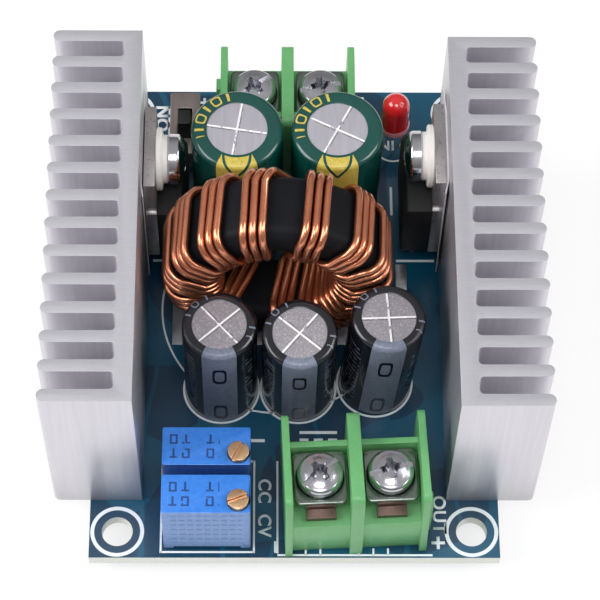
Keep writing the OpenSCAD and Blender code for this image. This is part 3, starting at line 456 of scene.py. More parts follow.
def turned(profile, sides=48):
    """A shape turned about Z: (radius, height) pairs in mm, from the bottom upwards."""
    hollow = profile[0] == profile[-1]
    bpy.ops.object.select_all(action="DESELECT")
    bpy.ops.mesh.primitive_circle_add(
        vertices=sides, radius=profile[0][0] * MM, fill_type="NOTHING" if hollow else "NGON",
        location=(0, 0, profile[0][1] * MM))
    piece = bpy.context.object
    bpy.ops.object.transform_apply(location=True, rotation=False, scale=False)
    bpy.ops.object.mode_set(mode="EDIT")
    bpy.ops.mesh.select_all(action="SELECT")
    for (radius, height), (next_radius, next_height) in zip(profile, profile[1:]):
        rise = {"value": (0, 0, (next_height - height) * MM)}
        bpy.ops.mesh.extrude_region_move(TRANSFORM_OT_translate=rise)
        widen = next_radius / radius
        bpy.ops.transform.resize(
            value=(widen, widen, 1), center_override=(0, 0, next_height * MM))
    bpy.ops.mesh.select_all(action="SELECT")
    bpy.ops.mesh.remove_doubles(threshold=1e-7)
    bpy.ops.mesh.normals_make_consistent(inside=False)
    bpy.ops.object.mode_set(mode="OBJECT")
    return piece


def rounded(centre, radius, start, end, steps):
    """Points of an arc in a profile, from one angle to the other in degrees."""
    angles = [math.radians(start + (end - start) * i / steps) for i in range(steps + 1)]
    return [(centre[0] + radius * math.cos(a), centre[1] + radius * math.sin(a)) for a in angles]


def block(size, place, turn=0, foot=1.0):
    """A box in mm on its bottom face's middle, with the bottom narrowed to a share of the top."""
    bpy.ops.object.select_all(action="DESELECT")
    bpy.ops.mesh.primitive_cube_add(size=1, location=(0, 0, 0))
    piece = bpy.context.object
    bpy.ops.object.mode_set(mode="EDIT")
    bpy.ops.mesh.select_all(action="DESELECT")
    bpy.ops.object.mode_set(mode="OBJECT")
    for vertex in piece.data.vertices:
        vertex.select = vertex.co.z < 0
    bpy.ops.object.mode_set(mode="EDIT")
    bpy.ops.transform.resize(value=(foot, foot, 1), center_override=(0, 0, -0.5))
    bpy.ops.object.mode_set(mode="OBJECT")
    piece.scale = [v * MM for v in size]
    piece.location = (place[0] * MM, place[1] * MM, (place[2] + size[2] / 2) * MM)
    piece.rotation_euler.z = math.radians(turn)
    bpy.ops.object.transform_apply(location=True, rotation=True, scale=True)
    return piece


def cut_out(piece, cutters):
    """Cuts shapes out of a piece, one after the other."""
    for cutter in cutters:
        cut = piece.modifiers.new("cut", "BOOLEAN")
        cut.operation = "DIFFERENCE"
        cut.solver = "EXACT"
        cut.object = cutter
    apply_all(piece)
    for cutter in cutters:
        bpy.data.objects.remove(cutter, do_unlink=True)


def pan_screw(head, height, shank, length, turn=0, slot=0.0, pitch=0.5):
    """A pan-head screw standing on its head's seat, with a cross recess and a rolled thread."""
    crown = head * 1.9
    rim_radius = 0.5
    flat = head - rim_radius
    drop = crown - math.sqrt(crown ** 2 - flat ** 2)
    thread = [(shank - 0.22, -length)]
    for step in range(int(length / pitch) - 1):
        low = -length + step * pitch
        thread += [(shank, low + pitch / 2), (shank - 0.2, low + pitch)]
    dome = [(flat * share, height - drop * share ** 2) for share in (1, 0.8, 0.55, 0.25, 0.02)]
    edge = height - drop - rim_radius
    side = [(head - 0.1, 0), (head, 0.15), (head, edge)]
    rim = rounded((flat, edge), rim_radius, 15, 75, 3)
    piece = turned(thread + [(shank - 0.2, 0)] + side + rim + dome)
    recess = (0, 0, height * 0.3)
    cutters = [block((head * 1.3, 0.95, height), recess, turn + quarter, foot=0.34)
               for quarter in (0, 90)]
    cutters.append(block((head * 0.78, head * 0.78, height), recess, turn + 45, foot=0.3))
    if slot:
        cutters.append(block((head * 2.6, slot, height), (0, 0, height * 0.7), turn))
    cut_out(piece, cutters)
    return piece


def at_tab(piece, side, y, z, depth):
    """Turns a shape made along Z to point away from a heatsink, and puts it on its face."""
    piece.rotation_euler.y = math.radians(90 * side)
    piece.location = (depth, y, z)


def rubber_sheet(low, high, side, curl):
    """A thin sheet whose free edges curl away from the metal behind it."""
    bpy.ops.object.select_all(action="DESELECT")
    bpy.ops.mesh.primitive_plane_add(size=1)
    piece = bpy.context.object
    wall = high.x if side > 0 else low.x
    piece.rotation_euler.y = math.radians(90)
    piece.scale = (high.z - low.z, 1e-5, 1)
    piece.location = (wall, low.y, (low.z + high.z) / 2)
    bpy.ops.object.transform_apply(location=True, rotation=True, scale=True)
    steps = 28
    width = high.y - low.y
    bpy.ops.object.mode_set(mode="EDIT")
    bpy.ops.mesh.select_all(action="SELECT")
    bpy.ops.mesh.remove_doubles(threshold=1e-4)
    bend = [curl * MM * abs(2 * i / steps - 1) ** 7 * (1 + 0.4 * math.sin(i * 1.1))
            for i in range(steps + 1)]
    bpy.ops.transform.translate(value=(-side * bend[0], 0, 0))
    for before, after in zip(bend, bend[1:]):
        step = {"value": (-side * (after - before), width / steps, 0)}
        bpy.ops.mesh.extrude_region_move(TRANSFORM_OT_translate=step)
    bpy.ops.object.mode_set(mode="OBJECT")
    thicken(piece, 0.14 * MM)
    return piece


def moulded(name, dark, light, roughness, relief=0.3, coat=0.0):
    """Moulded plastic, rubber or resin: a fine even grain with slight clouding."""
    finish = Finish(name)
    cloud = finish.noise(240, 2.0)
    fine = finish.noise(2600, 3.0)
    colour = finish.mix((cloud * 0.6 + fine * 0.5).held(), ink(*dark), ink(*light))
    grain = finish.bump(fine, 0.00003, relief)
    return finish.shown(colour, roughness + fine * 0.12, grain, Coat_Weight=coat)


resin = moulded("black_resin", (14, 14, 16), (28, 28, 31), 0.55)
tab_tin = plated("tab_tin", (168, 162, 162), (206, 202, 202), 0.36, spots=0.35)
chrome = plated("bright_screw", (170, 170, 176), (220, 220, 226), 0.11)
nylon = moulded("white_nylon", (214, 211, 208), (236, 233, 230), 0.42, relief=0.2)
rubber_grey = moulded("sheet_rubber", (172, 170, 174), (208, 206, 210), 0.62)
screw_head = 2.0
flange_depth = 1.3
bore, step, flange = 1.55, 2.7, 3.5
for device, side, curl in (("transistor", -1, 0.25), ("rectifier", 1, 0.35)):
    refined(device + "_frame", device + "_tab", tab_tin, edge=0.07)
    refined(device + "_body", device + "_moulding", resin, edge=0.12)
    low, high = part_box(device + "_sheet")
    sheet = rubber_sheet(low, high, side, curl)
    settle(sheet, device + "_rubber", rubber_grey, smooth=40)
    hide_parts(device + "_sheet")
    low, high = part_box(device + "_screw")
    middle_y, middle_z = (low.y + high.y) / 2, (low.z + high.z) / 2
    face = high.x if side < 0 else low.x
    seat = face + side * screw_head * MM
    screw = pan_screw(2.8, screw_head, 1.5, 6, turn=20)
    at_tab(screw, -side, middle_y, middle_z, seat)
    settle(screw, device + "_bright_screw", chrome, smooth=32)
    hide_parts(device + "_screw")
    bush = turned(
        [(bore, -1.27), (1.75, -1.27), (1.75, 0), (flange - 0.1, 0), (flange, 0.1), (flange, 0.55),
         (flange - 0.15, 0.7), (step + 0.15, 0.72), (step, 0.85), (step, 1.2),
         (step - 0.1, flange_depth), (bore, flange_depth), (bore, -1.27)])
    at_tab(bush, -side, middle_y, middle_z, seat + side * flange_depth * MM)
    settle(bush, device + "_nylon_bush", nylon, smooth=35)
    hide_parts(device + "_bush")

# ----------------------------------------------------------------- capacitors
# Pressed aluminium cans in shrunk plastic sleeves, green at the inlet and black at the
# outlet, with printed polarity stripes. Their tops are scored with a cross to vent. The
# outlet's right can leans outwards and its middle one forwards, as they were soldered.

SLEEVE_WALL = 0.12


def local_axes(finish, base, lean=0.0, forward=0.0):
    """Place on a can in mm, from the middle of its base, with Z along its axis."""
    settings = {"vector_type": "TEXTURE"}
    values = {"Vector": finish.place, "Location": base, "Rotation": (forward, lean, 0),
              "Scale": (MM, MM, MM)}
    return finish.axes(finish.node("ShaderNodeMapping", settings, values))


def round_the_can(x, y):
    """Angle from the front of the can, positive towards +X, and distance from its axis."""
    angle = x.work("ARCTAN2", x, 0 - y)
    return angle, (x * x + y * y).root()


def zero_mark(finish, across, along, half_width, half_length):
    """An upright oval ring, as a figure nought is printed."""
    a, b = across / half_width, along / half_length
    return (a * a * a * a + b * b * b * b).root().root().between(0.78, 1.14)


def rim_figures(finish, angle, away, middle, pitch, half_width, half_length):
    """Noughts and ones round a rim, a pitch apart in radians."""
    place = (angle / pitch).repeat(1) - 0.5
    odd = (angle / (2 * pitch)).repeat(1) < 0.5
    across, along = place * (pitch * middle), away - middle
    one = (across.size() < half_width * 0.3) * (along.size() < half_length)
    return zero_mark(finish, across, along, half_width, half_length) * odd + one * (1 - odd)


def green_sleeve(name, base, radius, height, hole):
    """Glossy green film with a gold stripe down the front and figures round the top."""
    finish = Finish(name)
    x, y, z = local_axes(finish, base)
    angle, away = round_the_can(x, y)
    across = angle * radius
    down = away - hole + height - z
    stripe = across.size() < 2.3
    vee = ((across.size() - (3.5 - down) * 0.62).size() < 0.2) * (down < 3.6)
    gold = stripe * (1 - vee) * (down > 0.2)
    word = rim_figures(finish, angle, away, (hole + radius) / 2, 0.34, 0.52, 0.52)
    gold = (gold + word * (z > height - 0.25) * angle.between(-2.95, -1.3)).held()
    foil = finish.noise(4200, 3.0)
    green = finish.mix(finish.noise(160, 2.0), ink(3, 56, 50), ink(8, 76, 67))
    colour = finish.mix(gold, green, finish.mix(foil, ink(150, 128, 44), ink(222, 204, 96)))
    relief = finish.bump(finish.noise(300, 1.0), 0.00005, 0.25)
    return finish.shown(colour, 0.2 + gold * 0.2, relief, Coat_Weight=0.35)


def black_sleeve(name, base, radius, height, hole, lean, forward):
    """Black film with a pale stripe of noughts down the front and small print beside it."""
    finish = Finish(name)
    x, y, z = local_axes(finish, base, lean, forward)
    angle, away = round_the_can(x, y)
    across = angle * radius
    down = away - hole + height - z
    stripe = across.size() < 1.9
    along = ((down - 1.2).repeat(0.112) - 0.5) * 8.9
    nought = zero_mark(finish, across, along, 0.66, 1.5) * (down > 2)
    silver = stripe * (1 - nought)
    small = finish.noise(1900, 1.0) > 0.46
    large = finish.noise(1150, 0.0) > 0.5
    lines = (down.repeat(1.15) < 0.38) * small * angle.between(-1.3, -0.72)
    code = ((angle - 0.9).size() < 0.14) * (down.repeat(0.9) < 0.62) * large
    fine = ((angle - 1.22).size() < 0.07) * (down.repeat(1.5) < 0.6) * small
    side_print = (lines + code + fine) * down.between(3.0, height - 0.6) * 0.75
    figures = rim_figures(finish, angle, away, radius - 0.38, 0.42, 0.36, 0.34)
    two_spans = angle.between(-2.75, -1.85) + angle.between(1.1, 1.75)
    figures = figures * two_spans * (z > height - 0.35)
    printed = (silver + side_print + figures).held()
    speck = finish.noise(3000, 3.0)
    black = finish.mix(finish.noise(200, 2.0), ink(12, 13, 19), ink(22, 24, 32))
    colour = finish.mix(printed, black, finish.mix(speck, ink(82, 89, 107), ink(136, 144, 162)))
    relief = finish.bump(finish.noise(320, 1.0), 0.00005, 0.25)
    return finish.shown(colour, 0.22 + silver * 0.22, relief, Coat_Weight=0.35)


def can_top(name, base, turn, lean, forward, dark, light, speckled):
    """Pressed aluminium, brushed or shot, with a painted highlight along the vent scores and painted
    shade along one side of each.
    """
    finish = Finish(name)
    x, y, z = local_axes(finish, base, lean, forward)
    cos, sin = math.cos(math.radians(turn)), math.sin(math.radians(turn))
    along, over = x * cos + y * sin, y * cos - x * sin
    ragged = finish.noise(1500, 3.0)
    score = (along.size() < 0.05 + ragged * 0.1) + (over.size() < 0.05 + ragged * 0.1)
    # Painted highlight: the scores are lightened where their edges would catch the light.
    bright = score.held() * (ragged > 0.38)
    # Painted shade: a dark line along one side of each score.
    painted_shade_side = ((along - 0.2).size() < 0.06) + ((over + 0.2).size() < 0.06)
    brushed = finish.noise(2600, 3.0, finish.stretched((1, 0.1, 1)))
    shot = finish.noise(5600, 3.0)
    colour = finish.mix(shot if speckled else brushed, ink(*dark), ink(*light))
    if speckled:
        colour = finish.mix((shot > 0.62) * 0.3, colour, ink(232, 230, 234))
    # The painted shade goes in first, then the painted highlight over the scores.
    colour = finish.mix(painted_shade_side.held() * (ragged > 0.45) * 0.75, colour, ink(92, 88, 96))
    colour = finish.mix(bright, colour, ink(250, 248, 250))
    return finish.shown(colour, 0.42 + brushed * 0.1, finish.bump(shot, 0.00002, 0.3), Metallic=0.35)


def capacitor(name, radius, height, hole, base, lean, forward, turn, sleeve_finish, top_finish, slot):
    """A scored can in a film sleeve that leaves a round hole over the can's top."""
    wall, edge = SLEEVE_WALL, 0.5
    shoulder = (radius - edge, height - edge)
    outside = [(radius, 0.2), (radius + wall, 0.2)] + rounded(shoulder, edge + wall, 0, 90, 6)
    lip = [(hole + 0.1, height + wall), (hole, height + wall * 0.6), (hole, height)]
    inside = rounded(shoulder, edge, 90, 0, 6) + [(radius, 0.2)]
    sleeve = turned(outside + lip + inside, sides=80)
    foot = [(radius - 0.35, 0.05), (radius - 0.1, 0)]
    groove = rounded((radius + 0.14, 2.2), 0.35, 240, 120, 4)
    can = turned(foot + groove + rounded(shoulder, edge, 0, 90, 6) + [(0.05, height)], sides=80)
    cut_out(can, [block((hole * 1.92, 0.2, 1), (0, 0, height - 0.1), turn + quarter, foot=0.6)
                  for quarter in (0, 90)])
    for piece, made, finish, slot_name, node in (
            (sleeve, name + "_printed_sleeve", sleeve_finish, slot, name + "_sleeve"),
            (can, name + "_pressed_can", top_finish, "can_aluminium", name + "_can")):
        piece.location = base
        piece.rotation_euler = (forward, lean, 0)
        settle(piece, made, finish, smooth=35)
        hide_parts(node)


def can_base(node):
    """The middle of an upright can's foot, its outer radius in mm and its top."""
    low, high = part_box(node)
    middle = Vector(((low.x + high.x) / 2, (low.y + high.y) / 2, board_top))
    return middle, (high.x - low.x) / 2 / MM, high.z


rim = 1.6
for side, turn in (("left", -9), ("right", -27)):
    name = "input_capacitor_" + side
    base, outer, high = can_base(name + "_sleeve")
    radius, height = outer - SLEEVE_WALL, (high - board_top) / MM - SLEEVE_WALL
    capacitor(name, radius, height, radius - rim, base, 0, 0, turn,
              green_sleeve(side + "_green_sleeve", base, radius, height, radius - rim),
              can_top(side + "_green_top", base, turn, 0, 0, (158, 155, 164), (182, 180, 188), False),
              "green_sleeve")

rim = 1.0
lean_of_right, lean_of_middle = math.radians(3.4), math.radians(4)
base_left, outer, high = can_base("output_capacitor_left_sleeve")
base_middle, base_right = base_left.copy(), base_left.copy()
middle_low, middle_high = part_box("output_capacitor_middle_sleeve")
base_middle.x = (middle_low.x + middle_high.x) / 2
base_middle.z += math.sin(lean_of_middle) * outer * MM
right_low, right_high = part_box("output_capacitor_right_sleeve")
base_right.x = 2 * base_middle.x - base_left.x
base_right.y = (right_low.y + right_high.y) / 2
base_right.z += math.sin(lean_of_right) * outer * MM
radius, height = outer - SLEEVE_WALL, (high - board_top) / MM - SLEEVE_WALL
for side, base, lean, forward, turn in (
        ("left", base_left, 0, 0, 42), ("middle", base_middle, 0, lean_of_middle, 50),
        ("right", base_right, lean_of_right, 0, 4)):
    capacitor("output_capacitor_" + side, radius, height, radius - rim, base, lean, forward, turn,
              black_sleeve(side + "_black_sleeve", base, radius, height, radius - rim, lean, forward),
              can_top(side + "_black_top", base, turn, lean, forward, (116, 112, 118), (178, 174, 181),
                      True),
              "black_sleeve")

seal = moulded("seal_rubber", (26, 26, 28), (44, 44, 46), 0.7)
lead_tin = plated("lead_tin", (170, 170, 174), (206, 206, 208), 0.3, spots=0.2)
for group in ("input", "output"):
    dress(group + "_capacitor_seals", seal)
    dress(group + "_capacitor_leads", lead_tin)

# ----------------------------------------------------------------------- coil
# A ring of pressed iron powder in dark epoxy, wound with three lacquered copper strands
# side by side. The strands leave behind the ring and in front of it, through the board.


def core_coat():
    finish = Finish("core_coat")
    pimples = finish.noise(1400, 2.0)
    colour = finish.mix(finish.noise(260, 2.0), ink(12, 13, 17), ink(24, 25, 30))
    return finish.shown(colour, 0.5 + pimples * 0.1, finish.bump(pimples, 0.00008, 0.4),
                        Specular_IOR_Level=0.12)


refined("coil_core", "coil_ring", core_coat(), edge=0, angle=50)


def lacquered_copper():
    finish = Finish("lacquered_copper")
    cloud = finish.noise(420, 3.0)
    fine = finish.noise(3600, 2.0)
    colour = finish.mix(cloud, ink(208, 120, 84), ink(240, 162, 124))
    colour = finish.mix((fine > 0.62) * 0.3, colour, ink(140, 74, 48))
    return finish.shown(colour, 0.2 + fine * 0.1, finish.bump(cloud + fine * 0.4, 0.00003, 0.3),
                        Metallic=0.9, Coat_Weight=0.6)


ring_low, ring_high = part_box("coil_core")
ring_middle = (ring_low + ring_high) / 2
ring_radius, ring_half = (ring_high.x - ring_low.x) / 2 / MM, (ring_high.y - ring_low.y) / 2 / MM
strand, bore = 0.85, 14.1
clear = strand / 2 + 0.2
bore_spread, outer_spread = strand * 1.12, strand * 1.235
loop_low, loop_high, loop_half = bore / 2 - clear, ring_radius + clear, ring_half + clear
corner = 1.4 + clear
turn_angles = [-104, -82.5, -61, -38, -13.5, 18.5, 47.5, 71.5, 95, 119, 143]
bore_angles = [-121.5, -93, -68, -43, -17, 19, 47, 73, 98, 123, 148, 176]
start_angle, outer_tilt, inner_tilt = -150, 4.5, 12
bends = [
    ((loop_low + corner, loop_half - corner), 90, bore_spread),
    ((loop_low + corner, corner - loop_half), 180, bore_spread),
    ((loop_high - corner, corner - loop_half), -90, outer_spread),
    ((loop_high - corner, loop_half - corner), 0, outer_spread),
]
stops = [start_angle, bore_angles[0]]
for crossing, leaving in zip(turn_angles, bore_angles[1:]):
    stops += [crossing, crossing + outer_tilt, leaving - inner_tilt, leaving]
quarter_bend = corner * math.pi / 2
bend_share = quarter_bend / (loop_high - loop_low + 2 * loop_half - 4 * corner + 2 * quarter_bend)
board_thickness, lead_end = 1.6, 1.8
lead_spread = 1.5
lead_depth = (ring_middle.z - board_top) / MM + board_thickness + lead_end


def lead_points(angle, rear):
    """A lead's two ends, straight down from the bore through the board."""
    x = (loop_low + corner) * math.sin(math.radians(angle))
    high = (loop_low + corner) * math.cos(math.radians(angle)) - 3
    outward = Vector((0, 1 if rear else -1, 0))
    return [(Vector((x, outward.y * loop_half, z)), outward, lead_spread) for z in (-lead_depth, high)]


def winding_course():
    """The middle strand's points in mm from the ring's middle, with outward directions."""
    steps = 8
    course = lead_points(start_angle, True)
    for i, angle in enumerate(stops):
        middle, first, spread = bends[i % 4]
        inside = 0 < i < len(stops) - 1
        lean = (stops[i + 1] - stops[i - 1]) * bend_share if inside else 0
        for step in range(steps + 1):
            turn = math.radians(first + 90 * step / steps)
            ring = math.radians(angle + lean * (step / steps - 0.5))
            sin, cos = math.sin(ring), math.cos(ring)
            away, side = middle[0] + corner * math.cos(turn), middle[1] + corner * math.sin(turn)
            place = Vector((away * sin, side, away * cos))
            outward = Vector((math.cos(turn) * sin, math.sin(turn), math.cos(turn) * cos))
            course.append((place, outward, spread))
    return course + lead_points(bore_angles[-1], False)[::-1]


course = winding_course()
copper = lacquered_copper()
for number in (1, 2, 3):
    name = "coil_wire_%d" % number
    path = bpy.data.curves.new(name, "CURVE")
    path.dimensions = "3D"
    path.bevel_depth = strand / 2 * MM
    path.bevel_resolution = 4
    path.use_fill_caps = True
    spline = path.splines.new("POLY")
    spline.points.add(len(course) - 1)
    for i, (place, outward, spread) in enumerate(course):
        ahead = course[min(i + 1, len(course) - 1)][0] - course[max(i - 1, 0)][0]
        beside = ahead.cross(outward).normalized()
        at = ring_middle + (place + beside * spread * (number - 2)) * MM
        spline.points[i].co = (*at, 1)
    wire = bpy.data.objects.new(name, path)
    bpy.context.scene.collection.objects.link(wire)
    select_only(wire)
    bpy.ops.object.convert(target="MESH")
    settle(bpy.context.object, name, copper, smooth=60)
    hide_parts("coil_strand_%d" % number)

# ------------------------------------------------------------ terminal blocks
# Two-pole barrier terminals: green nylon with tall walls between the poles, a tinned strip
# under each pole, and a loose square plate that a bright combination screw clamps down.

green_nylon = moulded("green_nylon", (78, 146, 84), (108, 174, 114), 0.36, relief=0.2, coat=0.15)
strip = plated("rosy_tin", (106, 84, 78), (148, 124, 116), 0.3, spots=0.3)
plate = plated("clamp_plate", (98, 108, 100), (152, 162, 154), 0.16)
clamp_head = 2.1


def block_turn(block_name):
    """Angle of a terminal block, from the line through its two screws."""
    ends = [sum(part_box("%s_screw_%s" % (block_name, side)), Vector()) / 2
            for side in ("left", "right")]
    return math.atan2(ends[1].y - ends[0].y, ends[1].x - ends[0].x)


for block_name in ("output", "input"):
    refined(block_name + "_terminal_housing", block_name + "_terminal_nylon", green_nylon,
            edge=0.22)
    refined(block_name + "_terminal_contacts", block_name + "_terminal_strips", strip, edge=0.08)
    for side, turn in (("left", 38), ("right", 12)):
        clamp = "%s_clamp_%s" % (block_name, side)
        refined(clamp, clamp + "_plate", plate, body=clamp, edge=0.09)
        node = "%s_screw_%s" % (block_name, side)
        low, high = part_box(node)
        length = (high.z - low.z) / MM - clamp_head
        screw = pan_screw((high.x - low.x) / 2 / MM, clamp_head, 1.5, length, turn=turn, slot=0.55)
        screw.location = ((low.x + high.x) / 2, (low.y + high.y) / 2, high.z - clamp_head * MM)
        screw.rotation_euler.z = block_turn(block_name)
        settle(screw, node + "_bright", chrome, body=node, smooth=32)
        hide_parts(node)

# ------------------------------------------------------------------- trimmers
# Two multi-turn trimmers in blue nylon cases, printed on their tops and front faces, each
# with a slotted brass screw in a round well at the front right corner.


def trimmer_blue(name, low, high, front_dark, front_light):
    """Blue nylon with strokes of no meaning on its top and lines of dashes on its front, whose colours
    are given; for the rear trimmer they are painted shade.
    """
    finish = Finish(name)
    x, y, z = [(wire - start) * TO_MM for wire, start in zip(finish.axes(), low)]
    length, width, height = [(b - a) / MM for a, b in zip(low, high)]
    up = finish.facing_up() > 0.7
    column, row = (x - 0.75).repeat(0.76), (y - 0.72).repeat(0.6)
    box = column.between(0.06, 0.7) * row.between(0.04, 0.72)
    hollow = column.between(0.22, 0.54) * row.between(0.16, 0.6)
    stroke = (column - 0.38).size() < 0.09
    foot = (row - 0.12).size() < 0.06
    odd = ((x - 0.75).repeat(0.38) + (y > width / 2) * 0.5).repeat(1) < 0.5
    glyph = box * ((1 - odd) * (1 - hollow) + odd * (stroke + foot).held())
    worn = finish.noise(2200, 2.0) > 0.36
    region = x.between(0.75, length - 3.3) * y.between(0.72, width - 0.6) * (1 - x.between(3.35, 4.6))
    top_print = glyph * region * up * worn
    dash = (x.repeat(1.1) < 0.5 + finish.noise(900, 1.0) * 0.5) * (z.repeat(0.78) < 0.34)
    front = (y < 0.3) * (1 - up)
    front_print = dash * z.between(1.6, height - 0.7) * x.between(0.6, length - 0.9) * front
    grain = finish.noise(1800, 3.0)
    blue = finish.mix(grain, ink(32, 104, 196), ink(60, 134, 222))
    # The front face's colours. The rear trimmer's darker ones are painted shade.
    rough = finish.mix(grain, ink(*front_dark), ink(*front_light))
    colour = finish.mix(front, blue, rough)
    colour = finish.mix(top_print * 0.85, colour, ink(16, 38, 96))
    colour = finish.mix(front_print * 0.45, colour, ink(52, 84, 140))
    relief = finish.bump(grain + front * grain * 2, 0.00004, 0.5)
    return finish.shown(colour, 0.36 + front * 0.25, relief, Coat_Weight=0.1)


brass = plated("adjuster_brass", (206, 156, 116), (240, 204, 166), 0.26, spots=0.35)
# The rear trimmer's darker front-face colours are painted shade, for the face that looks into the
# narrow gap behind the front trimmer.
for place, dark, light, turn in (("front", (88, 124, 182), (136, 164, 208), 20),
                                ("rear", (20, 52, 112), (34, 78, 150), 62)):
    node = "trimmer_" + place + "_housing"
    low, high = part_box(node)
    refined(node, "trimmer_" + place + "_case",
            trimmer_blue(place + "_trimmer_blue", low, high, dark, light), edge=0.1)
    screw = "trimmer_" + place + "_screw"
    middle = sum(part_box(screw), Vector()) / 2
    turned_screw = refined(screw, screw + "_brass", brass, body=screw, edge=0.08)
    about_z = Matrix.Rotation(math.radians(turn), 4, "Z")
    turned_screw.data.transform(Matrix.Translation(middle) @ about_z @ Matrix.Translation(-middle))
dress("trimmer_pins", lead_tin)

# --------------------------------------------------------------- slide switch
# A pressed steel shell over a laminate base, with a black nylon knob through its slot.


def shell_steel():
    finish = Finish("shell_steel")
    rolled = finish.noise(2600, 3.0, finish.stretched((1, 0.08, 1)))
    colour = finish.mix(rolled, ink(132, 120, 118), ink(166, 154, 151))
    return finish.shown(colour, 0.36 + rolled * 0.12, finish.bump(rolled, 0.00002, 0.4), Metallic=0.8)


refined("switch_shell", "switch_pressed_shell", shell_steel(), edge=0.07)
refined("switch_knob", "switch_nylon_knob", moulded("black_nylon", (16, 16, 18), (30, 30, 33), 0.4),
        body="switch_knob", edge=0.14)
dress("switch_base", moulded("brown_laminate", (84, 54, 34), (112, 76, 50), 0.6))
dress("switch_pins", lead_tin)

# ------------------------------------------------------------- indicator lamp
# A clear red lamp cast in epoxy round its leads, with a flange at its foot.


def red_epoxy():
    finish = Finish("red_epoxy")
    swirl = finish.noise(700, 2.0)
    height = (finish.axes()[2] - lamp_low.z) * TO_MM
    pale = height < 0.75 + swirl * 0.3
    colour = finish.mix(swirl, ink(212, 22, 32), ink(236, 46, 50))
    colour = finish.mix(pale * 0.75, colour, ink(238, 176, 184))
    return finish.shown(colour, 0.06 + swirl * 0.03, finish.bump(swirl, 0.00002, 0.2),
                        Transmission_Weight=0.1, Coat_Weight=0.8)


lens_radius = (lamp_high.x - lamp_low.x) / 2 / MM
lens_height = (lamp_high.z - lamp_low.z) / MM
flange = lens_radius + 0.14
foot = [(flange - 0.12, 0), (flange, 0.12), (flange, 0.75), (flange - 0.12, 0.9), (lens_radius, 1.0)]
dome = rounded((0, lens_height - lens_radius), lens_radius, 0, 88, 14)
lens = turned(foot + dome, sides=64)
lens.location = (lamp_x * MM, lamp_y * MM, lamp_low.z)
settle(lens, "lamp_red_lens", red_epoxy(), smooth=40)
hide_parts("lamp_lens")
dress("lamp_leads", lead_tin)

# ------------------------------------------------------------ soldered joints
# Reflowed tin on the board's bare strips under the coil and around its leads, and on the
# underside a cone of solder round every lead, two control chips and their resistors.


def solder_tin():
    finish = Finish("solder_tin")
    ripple = finish.noise(900, 3.0)
    colour = finish.mix(ripple, ink(150, 152, 158), ink(206, 208, 212))
    return finish.shown(colour, 0.24 + ripple * 0.2, finish.bump(ripple, 0.0001, 0.5), Metallic=0.9)


solder = solder_tin()
strips = [printed_bar(x, y, width, length) for x, y, width, length in (
    (-8.75, -0.97, 10.3, 6.15), (1.3, -2.3, 9.8, 3.4), (12.45, 4.75, 1.3, 3.3))]
tinning = joined(strips)
thicken(tinning, 0.12 * MM)
break_edges(tinning, 0.05, 40)
settle(tinning, "tinned_strips", solder, smooth=40)
dress("solder_joints", solder)
dress("control_chips", resin)
dress("control_chip_pins", lead_tin)
dress("underside_resistors", moulded("resistor_black", (18, 18, 20), (40, 40, 44), 0.45))

# ---------------------------------------------------------------------- stage
# A plain white floor under soft light: a softbox on either side, stronger on the left, and a
# smaller one above the front, in a dim room that is lighter towards its ceiling.

floor_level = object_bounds()[0][2]
bpy.ops.object.select_all(action="DESELECT")
bpy.ops.mesh.primitive_plane_add(size=3, location=(0, 0, floor_level))
floor = bpy.context.object
floor.name = "floor"
paper = Finish("floor_white")
tint = paper.mix(paper.noise(3, 1.0), (0.92, 0.92, 0.92, 1), (0.94, 0.94, 0.94, 1))
under_light = paper.node("ShaderNodeBsdfDiffuse", values={"Color": tint}, out="BSDF")
white = paper.node("ShaderNodeEmission", values={"Color": (1, 1, 1, 1), "Strength": 1.0},
                   out="Emission")
glow = 0.7
seen = glow * sum(paper.node("ShaderNodeLightPath", out=ray)
                  for ray in ("Is Camera Ray", "Is Glossy Ray", "Is Transmission Ray"))
surface = paper.node("ShaderNodeMixShader", values={0: seen.held(), 1: under_light, 2: white},
                     out="Shader")
paper.node("ShaderNodeOutputMaterial", values={"Surface": surface}, out=None)
floor.data.materials.append(paper.material)

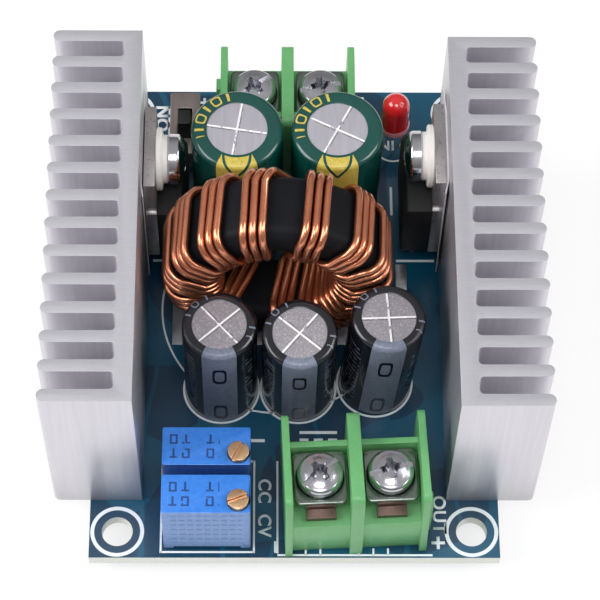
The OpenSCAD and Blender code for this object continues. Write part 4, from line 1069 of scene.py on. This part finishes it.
for name, place, size, power in (
        ("left_softbox", (-0.46, -0.07, 0.38), 0.38, 2.9),
        ("right_softbox", (0.46, -0.05, 0.40), 0.32, 1.8),
        ("front_softbox", (0.0, -0.26, 0.66), 0.24, 1.3)):
    lamp = bpy.data.lights.new(name, "AREA")
    lamp.shape = "SQUARE"
    lamp.size = size
    lamp.energy = power
    light = bpy.data.objects.new(name, lamp)
    light.location = place
    light.rotation_euler = (-Vector(place)).to_track_quat("-Z", "Y").to_euler()
    bpy.context.scene.collection.objects.link(light)

world = bpy.data.worlds.new("soft_room")
bpy.context.scene.world = world
world.use_nodes = True
room = world.node_tree.nodes["Background"]
direction = world.node_tree.nodes.new("ShaderNodeTexCoord")
split = world.node_tree.nodes.new("ShaderNodeSeparateXYZ")
walls = world.node_tree.nodes.new("ShaderNodeValToRGB")
for stop, at, grey in zip(walls.color_ramp.elements, (0.0, 0.9), (0.12, 0.5)):
    stop.position, stop.color = at, (grey, grey, grey, 1)
world.node_tree.links.new(direction.outputs["Generated"], split.inputs["Vector"])
world.node_tree.links.new(split.outputs["Z"], walls.inputs["Fac"])
world.node_tree.links.new(walls.outputs["Color"], room.inputs["Color"])

# The camera looks down steeply from in front, turned and tilted by small angles in radians.
CAMERA_PLACE, LENS = (-0.003087, -0.129675, 0.253679), 148.08
PITCH, YAW, ROLL = 1.090, -0.029, 0.028
forward = Vector((-math.sin(YAW) * math.cos(PITCH), math.cos(YAW) * math.cos(PITCH), -math.sin(PITCH)))
level = Vector((math.cos(YAW), math.sin(YAW), 0))
upward = level.cross(forward)
right_hand = level * math.cos(ROLL) + upward * math.sin(ROLL)
head_up = upward * math.cos(ROLL) - level * math.sin(ROLL)
view = bpy.data.cameras.new("camera")
view.sensor_width = 36
view.lens = LENS
camera = bpy.data.objects.new("camera", view)
camera.matrix_world = Matrix.Translation(CAMERA_PLACE) @ Matrix(
    (right_hand, head_up, -forward)).transposed().to_4x4()
bpy.context.scene.collection.objects.link(camera)
bpy.context.scene.camera = camera
bpy.context.scene.view_settings.view_transform = "Standard"
